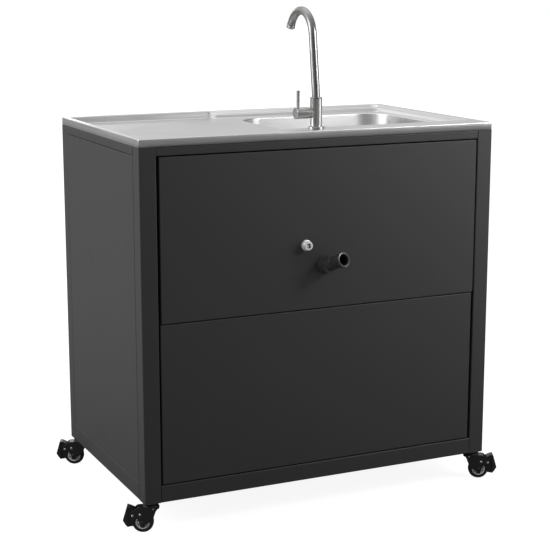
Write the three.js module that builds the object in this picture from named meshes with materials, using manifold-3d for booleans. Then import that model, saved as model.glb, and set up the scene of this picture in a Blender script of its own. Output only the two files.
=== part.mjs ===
// Portable sink cabinet: a steel frame with sheet panels and two doors, on four braked swivel casters,
// under a pressed stainless sink top with a bowl, a drainer and a gooseneck tap.
// Millimetres, +Z up. The service face, with the water inlet and the drain outlet, looks along -Y; the doors
// look along +Y. The origin is on the floor, under the middle of the whole object's box.
import * as THREE from "three";
import { mergeVertices } from "three/addons/utils/BufferGeometryUtils.js";
import Module from "manifold-3d";

const wasm = await Module();
wasm.setup();

// ---------------------------------------------------------------- driving dimensions
const width = 900;
const depth = 560;
const worktopHeight = 900;
const slabThickness = 18;
const casterHeight = 72;
const gap = 0.3; // between pieces that touch
const pipeGap = 0.8; // between a bent pipe's end, which isn't quite square, and its fitting
// The drain outlet stands further out than the door handles, so the cabinet sits this far to +Y.
const boxSetback = 19.375;

const postSize = 40;
const postCorner = 3;
const tubeWall = 1.5;
const topRailHeight = 20;
const bottomRailHeight = 40;
const railDepth = 20;
const footPlate = 3;

const frameTop = worktopHeight - slabThickness;
const halfWidth = width / 2;
const halfDepth = depth / 2;
const postInnerX = halfWidth - postSize;
const postInnerY = halfDepth - postSize;

const panelSheet = 1.2;
const rearSplit = 486; // height of the joint between the two rear panels
const panelGap = 2.5;

const sheet = 1.2; // sink top and bowl
const rimWidth = 14;
const tapBank = 69; // flat strip behind the bowl that carries the tap
const ledgeDrop = 7;
const ledgeWidths = { far: 26, right: 9 };
const ledgeStart = -57;
const wallRun = 7; // how far a pressed wall leans
const recessCorner = 22;
const topCorner = 4; // the sink top's own corners

const bowl = { x: 200, y: 13.5, halfX: 212, halfY: 198.5, corner: 75, bottom: 716 };
const wasteRadius = 36;

const tap = { x: 0, y: -232, deck: worktopHeight + gap };
const stubHeight = 36;

const inlet = { x: -48, z: 639 };
const outlet = { x: 2, z: 589, turn: 15, rise: 18, reach: 68, radius: 16, bore: 12.7 };

const caster = { inset: 20, trail: 18, wheelRadius: 25, wheelWidth: 19, bore: 3.4 };
const casterYaws = { left: 155, right: -25 };

const doorGap = 3;
const hingeRadius = 4;

// ---------------------------------------------------------------- finishes
const blackSteel = { color: 0x2e2e2f, roughness: 0.55, metalness: 0.3 };
const stainless = { color: 0xc9cbcc, roughness: 0.32, metalness: 0.95 };
const chrome = { color: 0xd2d3d4, roughness: 0.15, metalness: 1 };
const blackPlastic = { color: 0x161616, roughness: 0.5, metalness: 0 };
const rubber = { color: 0x121212, roughness: 0.8, metalness: 0 };
const greyPlastic = { color: 0xb9b8b2, roughness: 0.5, metalness: 0 };
const whitePlastic = { color: 0xe6e6e2, roughness: 0.5, metalness: 0 };
const pipeSteel = { color: 0xb4b6b8, roughness: 0.3, metalness: 0.9 };
const zinc = { color: 0x9c9da0, roughness: 0.4, metalness: 0.9 };

// ---------------------------------------------------------------- solids
const radians = THREE.MathUtils.degToRad;

// A closed geometry as a manifold-3d solid with its faces out.
function solid(geometry) {
  const bare = geometry.clone();
  bare.deleteAttribute("normal");
  bare.deleteAttribute("uv");
  const merged = mergeVertices(bare, 1e-4);
  const index = merged.index.array;
  const faces = [];
  for (let i = 0; i < index.length; i += 3) {
    const [a, b, c] = [index[i], index[i + 1], index[i + 2]];
    if (a !== b && b !== c && c !== a) faces.push(a, b, c);
  }
  const build = (list) =>
    new wasm.Manifold(
      new wasm.Mesh({
        numProp: 3,
        vertProperties: merged.attributes.position.array,
        triVerts: new Uint32Array(list),
      }),
    );
  const made = build(faces);
  return made.volume() > 0 ? made : build(faces.slice().reverse());
}

function union(...solids) {
  return solids.reduce((whole, next) => whole.add(next));
}

function geometryOf(shape) {
  const mesh = shape.getMesh();
  const positions = new Float32Array(mesh.numVert * 3);
  for (let i = 0; i < mesh.numVert; i++) {
    positions.set(mesh.vertProperties.subarray(i * mesh.numProp, i * mesh.numProp + 3), i * 3);
  }
  const geometry = new THREE.BufferGeometry();
  geometry.setAttribute("position", new THREE.BufferAttribute(positions, 3));
  geometry.setIndex(new THREE.BufferAttribute(mesh.triVerts, 1));
  geometry.computeVertexNormals();
  return geometry;
}

function piece(name, shape, finish) {
  const mesh = new THREE.Mesh(geometryOf(shape), new THREE.MeshStandardMaterial(finish));
  mesh.name = name;
  return mesh;
}

function block(x0, x1, y0, y1, z0, z1) {
  const box = new THREE.BoxGeometry(x1 - x0, y1 - y0, z1 - z0);
  return solid(box.translate((x0 + x1) / 2, (y0 + y1) / 2, (z0 + z1) / 2));
}

// The outline of a rounded rectangle at one height, counter-clockwise.
function roundedRing(x0, x1, y0, y1, radius, z, steps = 4) {
  const ring = [];
  for (let corner = 0; corner < 4; corner++) {
    const right = corner === 0 || corner === 3;
    const far = corner < 2;
    const cx = right ? x1 - radius : x0 + radius;
    const cy = far ? y1 - radius : y0 + radius;
    for (let i = 0; i <= steps; i++) {
      const angle = (corner + i / steps) * (Math.PI / 2);
      ring.push(new THREE.Vector3(cx + radius * Math.cos(angle), cy + radius * Math.sin(angle), z));
    }
  }
  return ring;
}

// A surface through rings of equal length: its ends are capped, or it closes on itself.
function loft(rings, closed = false) {
  const count = rings[0].length;
  const index = [];
  const spans = closed ? rings.length : rings.length - 1;
  for (let r = 0; r < spans; r++) {
    const low = r * count;
    const high = ((r + 1) % rings.length) * count;
    for (let i = 0; i < count; i++) {
      const next = (i + 1) % count;
      index.push(low + i, low + next, high + next);
      index.push(low + i, high + next, high + i);
    }
  }
  if (!closed) {
    const last = (rings.length - 1) * count;
    for (let i = 1; i < count - 1; i++) {
      index.push(0, i + 1, i);
      index.push(last, last + i, last + i + 1);
    }
  }
  const geometry = new THREE.BufferGeometry().setFromPoints(rings.flat());
  geometry.setIndex(index);
  return solid(geometry);
}

function roundedBlock(x0, x1, y0, y1, z0, z1, radius, steps = 3) {
  return loft([
    roundedRing(x0, x1, y0, y1, radius, z0, steps),
    roundedRing(x0, x1, y0, y1, radius, z1, steps),
  ]);
}

// A pressed shape whose walls lean: the outline at zTop, shrunk by `run` at zBottom.
function leaningBlock(x0, x1, y0, y1, radius, zTop, zBottom, run) {
  const inner = Math.max(radius - run, 1);
  return loft([
    roundedRing(x0 + run, x1 - run, y0 + run, y1 - run, inner, zBottom),
    roundedRing(x0, x1, y0, y1, radius, zTop),
  ]);
}

// A solid turned about +Z from [radius, height] points, closed on itself unless it starts on the axis.
function turned(profile, segments = 16) {
  const points = profile.map(([r, z]) => new THREE.Vector2(r, z));
  if (profile[0][0] > 0) points.push(points[0].clone());
  const lathe = new THREE.LatheGeometry(points, segments);
  return solid(lathe.rotateX(Math.PI / 2));
}

function rod(start, end, radius, segments = 14) {
  const from = new THREE.Vector3(...start);
  const to = new THREE.Vector3(...end);
  const along = to.clone().sub(from);
  const cylinder = new THREE.CylinderGeometry(radius, radius, along.length(), segments);
  const up = new THREE.Vector3(0, 1, 0);
  cylinder.applyQuaternion(new THREE.Quaternion().setFromUnitVectors(up, along.clone().normalize()));
  const middle = from.add(to).multiplyScalar(0.5);
  return solid(cylinder.translate(middle.x, middle.y, middle.z));
}

// A tube along a curve, hollow when it has a bore.
function tubeAlong(curve, radius, bore, sides, steps) {
  const section = new THREE.Shape();
  section.setFromPoints(circlePoints(radius, sides));
  if (bore > 0) section.holes.push(new THREE.Path(circlePoints(bore, sides)));
  return solid(
    new THREE.ExtrudeGeometry(section, { extrudePath: curve, steps, bevelEnabled: false }),
  );
}

function circlePoints(radius, sides) {
  return Array.from({ length: sides }, (_, i) => {
    const angle = (i / sides) * 2 * Math.PI;
    return new THREE.Vector2(radius * Math.cos(angle), radius * Math.sin(angle));
  });
}

// A flat outline in X and Y, extruded from z0 to z1.
function slab(points, z0, z1) {
  const shape = new THREE.Shape(points.map(([x, y]) => new THREE.Vector2(x, y)));
  const geometry = new THREE.ExtrudeGeometry(shape, { depth: z1 - z0, bevelEnabled: false });
  return solid(geometry.translate(0, 0, z0));
}

// ---------------------------------------------------------------- frame
const cabinet = new THREE.Group();
cabinet.position.y = boxSetback;

function makePost(name, sideX, sideY) {
  const centreX = sideX * (halfWidth - postSize / 2);
  const centreY = sideY * (halfDepth - postSize / 2);
  const half = postSize / 2;
  const inner = half - tubeWall;
  const top = frameTop - gap;
  const tube = roundedBlock(-half, half, -half, half, casterHeight, top, postCorner);
  const hollow = block(-inner, inner, -inner, inner, casterHeight + footPlate, top + 1);
  const stemHole = rod([0, 0, casterHeight - 1], [0, 0, casterHeight + footPlate + 1], 6.5);
  const offset = postSize / 2 - caster.inset; // the caster's axis isn't quite on the post's
  const hole = stemHole.translate([sideX * offset, sideY * offset, 0]);
  return piece(name, tube.subtract(hollow).subtract(hole).translate([centreX, centreY, 0]), blackSteel);
}

for (const [name, sideX, sideY] of [
  ["post_rear_left", -1, -1],
  ["post_rear_right", 1, -1],
  ["post_front_left", -1, 1],
  ["post_front_right", 1, 1],
]) {
  cabinet.add(makePost(name, sideX, sideY));
}

// A rectangular tube along X or Y between two posts, open at its ends.
function makeRail(name, alongX, side, z0, z1) {
  const reach = (alongX ? postInnerX : postInnerY) - gap;
  const outer = side * (alongX ? halfDepth : halfWidth);
  const inner = side * ((alongX ? halfDepth : halfWidth) - railDepth);
  const [low, high] = [Math.min(outer, inner), Math.max(outer, inner)];
  const w = tubeWall;
  const past = reach + 1;
  const tube = alongX
    ? block(-reach, reach, low, high, z0, z1).subtract(block(-past, past, low + w, high - w, z0 + w, z1 - w))
    : block(low, high, -reach, reach, z0, z1).subtract(block(low + w, high - w, -past, past, z0 + w, z1 - w));
  return piece(name, tube, blackSteel);
}

const railBottomTop = casterHeight + bottomRailHeight;
const railTopBottom = frameTop - topRailHeight;
for (const [place, alongX, side] of [
  ["rear", true, -1],
  ["front", true, 1],
  ["left", false, -1],
  ["right", false, 1],
]) {
  cabinet.add(makeRail(`${place}_bottom_rail`, alongX, side, casterHeight, railBottomTop));
  cabinet.add(makeRail(`${place}_top_rail`, alongX, side, railTopBottom, frameTop - gap));
}

// ---------------------------------------------------------------- panels
// A folded panel for a wall that looks along -Y and is `wallDepth` from the middle. Its face is flush with
// the frame and its edges are turned in; a hooked one has a flange that stands up behind the top rail.
function foldedPanel(x0, x1, z0, z1, wallDepth, hooked) {
  const t = panelSheet;
  const face = -wallDepth;
  const back = face + railDepth + gap;
  const hookTop = z1 + 14;
  const hook = [
    [hookTop, back],
    [hookTop, back + t],
    [z1 - t, back + t],
  ];
  const plainEdge = [[z1 - t, back]];
  const profile = [
    [z0, back],
    [z0, face],
    [z1, face],
    [z1, back],
    ...(hooked ? hook : plainEdge),
    [z1 - t, face + t],
    [z0 + t, face + t],
    [z0 + t, back],
  ];
  const bent = slab(profile, x0, x1).rotate([0, -90, 0]).mirror([1, 0, 0]);
  const sideDepth = face + 14;
  const [sideLow, sideHigh] = [z0 + t / 2, z1 - t / 2];
  const left = block(x0, x0 + t, face + t / 2, sideDepth, sideLow, sideHigh);
  const right = block(x1 - t, x1, face + t / 2, sideDepth, sideLow, sideHigh);
  return union(bent, left, right);
}

const upperZ = [rearSplit + 1, railTopBottom - panelGap];
const lowerZ = [railBottomTop + panelGap, rearSplit - 1];
const inletHole = rod([inlet.x, -halfDepth - 1, inlet.z], [inlet.x, -halfDepth + 5, inlet.z], 10.8);
const outletHole = rod([outlet.x, -halfDepth - 1, outlet.z], [outlet.x, -halfDepth + 5, outlet.z], 17.3);
const upperPanel = foldedPanel(-postInnerX + 6.5, postInnerX - 3, ...upperZ, halfDepth, true)
  .subtract(inletHole)
  .subtract(outletHole);
const lowerPanel = foldedPanel(-postInnerX + 4, postInnerX - 6.5, ...lowerZ, halfDepth, false);
cabinet.add(piece("rear_panel_upper", upperPanel, blackSteel));
cabinet.add(piece("rear_panel_lower", lowerPanel, blackSteel));

const sideGap = 1.8;
const sideReach = postInnerY - sideGap;
const sideZ = [railBottomTop + sideGap, railTopBottom - sideGap];
for (const [name, turn] of [
  ["side_panel_left", -90],
  ["side_panel_right", 90],
]) {
  const wall = foldedPanel(-sideReach, sideReach, ...sideZ, halfWidth, true);
  cabinet.add(piece(name, wall.rotate([0, 0, turn]), blackSteel));
}

const base = [railBottomTop + gap, railBottomTop + gap + panelSheet];
const baseX = halfWidth - railDepth / 2;
const baseY = halfDepth - railDepth / 2;
const notchX = postInnerX - 1;
const notchY = postInnerY - 1;
cabinet.add(
  piece(
    "base_panel",
    union(
      block(-baseX, baseX, -notchY, notchY, ...base),
      block(-notchX, notchX, -baseY, baseY, ...base),
    ),
    blackSteel,
  ),
);

// ---------------------------------------------------------------- sink top
// The block under the pressed surface; `t` moves the whole surface in by a sheet's thickness. The two
// ledges are raised steps along the recess's far and right edges.
function pressedBlock(t, bottom) {
  const top = worktopHeight - t;
  const deck = frameTop + gap + sheet - t;
  const ledge = worktopHeight - ledgeDrop - t;
  const rimX = halfWidth - rimWidth + t;
  const rimY = halfDepth - rimWidth + t;
  const nearWall = -halfDepth + tapBank - t;
  const [outerX, outerY] = [halfWidth - t, halfDepth - t];
  const outer = roundedBlock(-outerX, outerX, -outerY, outerY, bottom, top, topCorner - t);
  const recess = leaningBlock(-rimX, rimX, nearWall, rimY, recessCorner, top, deck, wallRun);
  const pastEdge = 60;
  const farLedge = leaningBlock(
    ledgeStart - wallRun + t,
    halfWidth,
    rimY - ledgeWidths.far - wallRun,
    halfDepth + pastEdge,
    recessCorner + 3,
    deck - 1,
    ledge,
    wallRun,
  );
  const rightLedge = leaningBlock(
    rimX - ledgeWidths.right - wallRun,
    halfWidth + pastEdge,
    nearWall - pastEdge,
    halfDepth + pastEdge,
    recessCorner,
    deck - 1,
    ledge,
    wallRun,
  );
  const [roomX, roomY] = [halfWidth - rimWidth / 2, halfDepth - rimWidth / 2];
  const room = roundedBlock(-roomX, roomX, -roomY, roomY, bottom, top, 2);
  return outer.subtract(recess).add(farLedge.add(rightLedge).intersect(room));
}

const bowlEdge = [bowl.x - bowl.halfX, bowl.x + bowl.halfX, bowl.y - bowl.halfY, bowl.y + bowl.halfY];
const cutOut = roundedBlock(...bowlEdge, frameTop - 5, worktopHeight + 5, bowl.corner, 5);
const tapHole = rod([tap.x, tap.y, frameTop], [tap.x, tap.y, worktopHeight + 5], 14);
const sinkTop = pressedBlock(0, frameTop + gap)
  .subtract(pressedBlock(sheet, frameTop - 5))
  .subtract(cutOut)
  .subtract(tapHole);
cabinet.add(piece("sink_top", sinkTop, stainless));

// ---------------------------------------------------------------- bowl and waste
const cornerSteps = 5;
const sideSteps = 4;

// The bowl's outline, `inset` inside its edge, with points along its straight sides too.
function bowlRing(inset, z) {
  const [x0, x1, y0, y1] = bowlEdge;
  const radius = bowl.corner - inset * 0.7;
  const corners = roundedRing(x0 + inset, x1 - inset, y0 + inset, y1 - inset, radius, z, cornerSteps);
  return corners.flatMap((point, i) => {
    if (i % (cornerSteps + 1) !== cornerSteps) return [point];
    const next = corners[(i + 1) % corners.length];
    return Array.from({ length: sideSteps }, (_, k) => point.clone().lerp(next, k / sideSteps));
  });
}

// A circle with one point for each point of a bowl ring.
function wasteRing(radius, z) {
  return bowlRing(0, z).map((point) => {
    const angle = Math.atan2((point.y - bowl.y) / bowl.halfY, (point.x - bowl.x) / bowl.halfX);
    return new THREE.Vector3(bowl.x + radius * Math.cos(angle), bowl.y + radius * Math.sin(angle), z);
  });
}

const bowlTop = frameTop;
const floor = bowl.bottom;
const bowlShape = loft(
  [
    wasteRing(wasteRadius, floor),
    bowlRing(46, floor + 4),
    bowlRing(27, floor + 9),
    bowlRing(14, floor + 22),
    bowlRing(9, floor + 42),
    bowlRing(0, bowlTop),
    bowlRing(-10, bowlTop),
    bowlRing(-10, bowlTop - sheet),
    bowlRing(-sheet, bowlTop - sheet),
    bowlRing(9 - sheet, floor + 42),
    bowlRing(14 - sheet, floor + 22 - 0.4),
    bowlRing(27 - sheet / 2, floor + 9 - sheet),
    bowlRing(46, floor + 4 - sheet),
    wasteRing(wasteRadius, floor - sheet),
  ],
  true,
);
cabinet.add(piece("sink_bowl", bowlShape, stainless));

const wasteTail = floor - 62;
const wasteBody = turned([
  [33, floor + 2.6],
  [42, floor + 2.2],
  [42, floor + 1],
  [35, floor + 0.6],
  [35, floor - sheet - gap],
  [44, floor - sheet - gap],
  [44, floor - 12],
  [36, floor - 14],
  [36, floor - 32],
  [20, floor - 44],
  [20, wasteTail],
  [17, wasteTail],
  [17, floor - 42],
  [33, floor - 30],
]).translate([bowl.x, bowl.y, 0]);
cabinet.add(piece("waste_body", wasteBody, stainless));

const basket = turned([
  [0, floor - 24],
  [26, floor - 24],
  [30, floor + 1],
  [32.6, floor + 2],
  [32.6, floor + 3],
  [28, floor + 3],
  [24.5, floor - 22.6],
  [4, floor - 22.6],
  [3, floor - 2],
  [7, floor + 1],
  [7, floor + 4],
  [0, floor + 5],
]).translate([bowl.x, bowl.y, 0]);
cabinet.add(piece("strainer_basket", basket, stainless));

// A bottle trap: the waste's tail runs down into the cup, and the water leaves by its side.
const trapTop = wasteTail + 8;
const trapHeading = radians(-140); // towards the drain outlet
const trapOut = outlet.z + 22;
const trapEnd = 58;
const heading = (length, z) => [length * Math.cos(trapHeading), length * Math.sin(trapHeading), z];
const trapCup = turned([
  [0, trapTop - 112],
  [22, trapTop - 112],
  [29, trapTop - 104],
  [29, trapTop - 46],
  [33, trapTop - 42],
  [33, trapTop - 26],
  [29, trapTop - 20],
  [27, trapTop],
  [20 + gap, trapTop],
  [20 + gap, trapTop - 16],
  [26, trapTop - 22],
  [26, trapTop - 106],
  [0, trapTop - 108],
]);
const trapArm = rod(heading(27.5, trapOut), heading(trapEnd, trapOut), 16);
const trapBore = rod(heading(20, trapOut), heading(trapEnd + 1, trapOut), 13.2);
const trap = trapCup.add(trapArm).subtract(trapBore).translate([bowl.x, bowl.y, 0]);
cabinet.add(piece("bottle_trap", trap, whitePlastic));

// ---------------------------------------------------------------- drain outlet and waste pipe
const rearFace = -halfDepth;
const spigotEnd = rearFace + 34;
const stubDirection = new THREE.Vector3(0, -1, 0)
  .applyAxisAngle(new THREE.Vector3(1, 0, 0), radians(-outlet.rise))
  .applyAxisAngle(new THREE.Vector3(0, 0, 1), radians(outlet.turn));
const along = (length) => stubDirection.clone().multiplyScalar(length).toArray();
const outletCone = turned([
  [0, gap],
  [21.5, gap],
  [21.5, 3],
  [19.5, 9],
  [17, 20],
  [0, 24],
]).rotate([90, 0, 0]);
const outletNeck = turned([
  [0, 9.5],
  [19.5, 9.5],
  [18.5, 18],
  [16.2, 34],
  [0, 34],
])
  .rotate([90 - outlet.rise, 0, 0])
  .rotate([0, 0, outlet.turn]);
const outletSpigot = rod([0, -gap - 0.5, 0], [0, spigotEnd - rearFace, 0], 16);
const outletNut = rod([0, panelSheet + gap, 0], [0, 12, 0], 23, 6);
const outletStub = rod(along(10), along(outlet.reach), outlet.radius);
const outletBore = rod(along(2), along(outlet.reach + 1), outlet.bore);
const spigotBore = rod(along(10), [0, spigotEnd - rearFace + 1, 0], outlet.bore);
const drainOutlet = union(outletCone, outletNeck, outletSpigot, outletNut, outletStub)
  .subtract(outletBore)
  .subtract(spigotBore)
  .translate([outlet.x, rearFace, outlet.z]);
cabinet.add(piece("drain_outlet", drainOutlet, blackPlastic));

const [armX, armY] = heading(trapEnd + pipeGap, 0);
const wastePipeRoute = new THREE.CatmullRomCurve3(
  [
    [bowl.x + armX, bowl.y + armY, trapOut],
    [bowl.x + armX - 20, bowl.y + armY - 17, trapOut],
    [bowl.x + armX - 70, bowl.y + armY - 62, trapOut - 12],
    [outlet.x + 22, spigotEnd + 78, outlet.z + 2],
    [outlet.x, spigotEnd + 22, outlet.z],
    [outlet.x, spigotEnd + pipeGap, outlet.z],
  ].map((point) => new THREE.Vector3(...point)),
);
cabinet.add(piece("waste_pipe", tubeAlong(wastePipeRoute, 16, 13, 10, 12), blackPlastic));

// ---------------------------------------------------------------- water inlet and supply pipe
const inletTail = rearFace + 34;
const waterInlet = turned([
  [6, -16],
  [10.4, -16],
  [10.4, -4],
  [12.5, -3.4],
  [12.5, -gap],
  [10, -gap],
  [10, panelSheet + gap],
  [14, panelSheet + gap],
  [14, 8],
  [10, 9],
  [10, 20],
  [7, 22],
  [7, 34],
  [4, 34],
  [4, 2],
  [6, 0],
])
  .rotate([-90, 0, 0])
  .translate([inlet.x, rearFace, inlet.z]);
cabinet.add(piece("water_inlet", waterInlet, chrome));

const shankEnd = worktopHeight - 52;
const supplyRoute = new THREE.CatmullRomCurve3(
  [
    [inlet.x, inletTail + pipeGap, inlet.z],
    [inlet.x, inletTail + 20, inlet.z],
    [inlet.x + 6, inletTail + 52, inlet.z + 34],
    [inlet.x + 22, inletTail + 50, inlet.z + 90],
    [tap.x - 8, tap.y + 22, inlet.z + 142],
    [tap.x, tap.y, shankEnd - 26],
    [tap.x, tap.y, shankEnd - pipeGap],
  ].map((point) => new THREE.Vector3(...point)),
);
cabinet.add(piece("supply_pipe", tubeAlong(supplyRoute, 6, 0, 8, 22), pipeSteel));

// ---------------------------------------------------------------- tap
const bodyTop = tap.deck + 68;
const stubZ = tap.deck + stubHeight;
const stubFaceX = -22;
const stubRadius = 11.6;
const tapBody = union(
  turned([
    [11.5, 5],
    [17.5, 5],
    [19, 3],
    [19, 0],
    [13, 0],
    [13, -50 - gap],
    [9, -50 - gap],
    [9, 56],
    [11.5, 56],
  ]).translate([0, 0, tap.deck]),
  turned([
    [11.5, 4],
    [14, 4],
    [14, 67],
    [13.2, 68],
    [11.5, 68],
  ]).translate([0, 0, tap.deck]),
  rod([stubFaceX, 0, stubZ], [-12.4, 0, stubZ], stubRadius),
).translate([tap.x, tap.y, 0]);
cabinet.add(piece("tap_body", tapBody, chrome));

const tapNut = turned([
  [13 + gap, worktopHeight - sheet - gap],
  [19, worktopHeight - sheet - gap],
  [19, worktopHeight - sheet - 3],
  [17, worktopHeight - sheet - 3],
  [17, worktopHeight - sheet - 12],
  [13 + gap, worktopHeight - sheet - 12],
]).translate([tap.x, tap.y, 0]);
cabinet.add(piece("tap_nut", tapNut, zinc));

const spout = { radius: 9.5, bend: 60, lean: 7.6, bendHeight: 205, sweep: 145 };
const lean = radians(spout.lean);
const riseStart = new THREE.Vector3(0, 0, 70);
const riseLength = (spout.bendHeight - 70 + spout.bend * Math.sin(lean)) / Math.cos(lean);
const upTheRise = new THREE.Vector3(0, Math.sin(lean), Math.cos(lean));
const riseEnd = riseStart.clone().add(upTheRise.multiplyScalar(riseLength));
const bendCentre = riseEnd
  .clone()
  .add(new THREE.Vector3(0, Math.cos(lean), -Math.sin(lean)).multiplyScalar(spout.bend));

// The point and the heading on the spout's bend, `angle` degrees after the straight rise ends.
function onBend(angle) {
  const turn = Math.PI - lean - radians(angle);
  const outwards = new THREE.Vector3(0, Math.cos(turn), Math.sin(turn));
  return outwards.multiplyScalar(spout.bend).add(bendCentre);
}

class SpoutPath extends THREE.Curve {
  getPoint(t, target = new THREE.Vector3()) {
    const bendLength = spout.bend * radians(spout.sweep);
    const whole = riseLength + bendLength;
    const run = t * whole;
    if (run <= riseLength) return target.lerpVectors(riseStart, riseEnd, run / riseLength);
    return target.copy(onBend(((run - riseLength) / bendLength) * spout.sweep));
  }
}

const spoutTube = tubeAlong(new SpoutPath(), spout.radius, 7.5, 12, 20);
const spoutCollar = turned([
  [7.5, 68 + gap],
  [13.6, 68 + gap],
  [13.6, 70.6],
  [13, 71.2],
  [7.5, 71.2],
]);
const spoutStem = turned([
  [6, 58],
  [10.9, 58],
  [10.9, 70],
  [6, 70],
]);
const spoutShape = union(spoutTube, spoutCollar, spoutStem).translate([tap.x, tap.y, tap.deck]);
cabinet.add(piece("spout", spoutShape, chrome));

const spoutTip = onBend(spout.sweep);
const tipHeading = spoutTip
  .clone()
  .sub(onBend(spout.sweep - 1))
  .normalize();
const tipTilt = THREE.MathUtils.radToDeg(Math.atan2(tipHeading.y, -tipHeading.z));
const aerator = turned([
  [5, 9],
  [spout.radius + 0.9, 9],
  [spout.radius + 0.9, 0.6],
  [spout.radius + 0.3, -gap],
  [5, -gap],
])
  .scale([1, 1, -1])
  .rotate([tipTilt, 0, 0])
  .translate([tap.x + spoutTip.x, tap.y + spoutTip.y, tap.deck + spoutTip.z]);
cabinet.add(piece("aerator", aerator.translate(tipHeading.clone().multiplyScalar(0.6).toArray()), chrome));

const leverX = -46;
const knobEnd = leverX - 7.5;
const knobRadius = stubRadius + 1.6;
const tapLever = union(
  rod([stubFaceX - gap, 0, 0], [knobEnd, 0, 0], knobRadius),
  rod([leverX, 0, 7], [leverX, -1.5, 52], 4),
).translate([tap.x, tap.y, stubZ]);
cabinet.add(piece("tap_lever", tapLever, chrome));

// ---------------------------------------------------------------- doors, hinges and catch
const doorZ = [railBottomTop + doorGap, railTopBottom - doorGap];
const hingeX = postInnerX - 1;
const hingeY = halfDepth + hingeRadius;
const hingeHeights = { lower: doorZ[0] + 90, upper: doorZ[1] - 90 };
const knuckle = 22;

// A hinge axis stands just in front of the post's inner edge; each leaf is 1.6 mm of plate.
function makeHinge(name, side, z) {
  const leaf = side > 0 ? [hingeX, postInnerX + 24] : [-postInnerX - 24, -hingeX];
  const leafY = [halfDepth + gap, halfDepth + gap + 1.6];
  const shape = union(
    rod([side * hingeX, hingeY, z - knuckle], [side * hingeX, hingeY, z - gap / 2], hingeRadius, 12),
    rod([side * hingeX, hingeY, z - 1], [side * hingeX, hingeY, z + knuckle + 2], 1.8, 8),
    block(...leaf, ...leafY, z - knuckle, z - gap / 2),
  );
  return piece(name, shape, zinc);
}

function makeDoor(name, side) {
  const t = panelSheet;
  const outerX = postInnerX - doorGap;
  const [x0, x1] = side > 0 ? [doorGap / 2, outerX] : [-outerX, -doorGap / 2];
  const face = halfDepth - gap;
  const doorDepth = 18;
  const shell = block(x0, x1, face - doorDepth, face, ...doorZ);
  const hollow = block(x0 + t, x1 - t, face - doorDepth - 1, face - t, doorZ[0] + t, doorZ[1] - t);
  let shape = shell.subtract(hollow);
  for (const z of Object.values(hingeHeights)) {
    const leafX = side > 0 ? [outerX - 22, side * hingeX] : [side * hingeX, -outerX + 22];
    const leaf = union(
      rod([side * hingeX, hingeY, z + gap / 2], [side * hingeX, hingeY, z + knuckle], hingeRadius, 12),
      block(...leafX, face - 0.5, halfDepth + gap + 1.6, z + gap / 2, z + knuckle),
    );
    const pinRoom = rod([side * hingeX, hingeY, z - 2], [side * hingeX, hingeY, z + knuckle + 4], 2.1, 8);
    shape = shape.add(leaf).subtract(pinRoom);
  }
  return piece(name, shape, blackSteel);
}

const handle = { x: 34, z: 640, spacing: 128, standOff: 30, radius: 5 };
function makeHandle(name, side) {
  const x = side * handle.x;
  const bar = halfDepth + handle.standOff - handle.radius;
  const low = handle.z - handle.spacing / 2;
  const high = handle.z + handle.spacing / 2;
  const shape = union(
    rod([x, bar, low - 12], [x, bar, high + 12], handle.radius, 12),
    rod([x, halfDepth, low], [x, bar, low], 4, 12),
    rod([x, halfDepth, high], [x, bar, high], 4, 12),
  );
  return piece(name, shape, stainless);
}

for (const [place, side] of [
  ["left", -1],
  ["right", 1],
]) {
  cabinet.add(makeDoor(`door_${place}`, side));
  cabinet.add(makeHandle(`door_handle_${place}`, side));
  cabinet.add(makeHinge(`hinge_${place}_lower`, side, hingeHeights.lower));
  cabinet.add(makeHinge(`hinge_${place}_upper`, side, hingeHeights.upper));
}

const catchBack = halfDepth - gap - 18 - gap;
const magnetCatch = union(
  block(-26, 26, catchBack - 16, catchBack, railTopBottom - 16, railTopBottom - 2),
  block(-20, 20, catchBack - 26, catchBack - 6, railTopBottom - 4, railTopBottom - gap),
);
cabinet.add(piece("magnet_catch", magnetCatch, blackPlastic));

// ---------------------------------------------------------------- casters
// Each is made with its swivel axis on Z and its wheel behind it along +X, then turned and set under
// its post.
const wheelX = caster.trail;
const wheelZ = caster.wheelRadius;
const headTop = casterHeight - 5.4;
const forkInner = caster.wheelWidth / 2 + 1.6;
const forkPlate = 2;
const pedalPivot = { x: 42, z: 43 };

function casterStem() {
  return turned([
    [0, headTop + gap],
    [15, headTop + gap],
    [18, headTop + 2],
    [18, casterHeight - gap],
    [5, casterHeight - gap],
    [5, casterHeight + 18],
    [0, casterHeight + 19],
  ]);
}

// The side plate of a fork, drawn in X and Z: it hangs from the crown, holds the axle and ends in an ear
// for the pedal.
function forkPlateOutline() {
  const { x, z } = pedalPivot;
  const underCrown = headTop - 4;
  return [
    [-17, underCrown],
    [-10, 50],
    [-7, 36],
    [-1, 27],
    [wheelX - 6, wheelZ - 4],
    [wheelX - 5, wheelZ - 11],
    [wheelX + 5, wheelZ - 11],
    [wheelX + 7, wheelZ - 2],
    [28, 34],
    [x - 1, z - 5],
    [x + 4, z - 3],
    [x + 5, z + 4],
    [30, underCrown],
  ];
}

function plateAcross(outline, y0, y1) {
  const shape = new THREE.Shape(outline.map(([x, z]) => new THREE.Vector2(x, z)));
  const plate = new THREE.ExtrudeGeometry(shape, { depth: y1 - y0, bevelEnabled: false });
  return solid(plate.rotateX(Math.PI / 2).translate(0, y1, 0));
}

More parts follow.
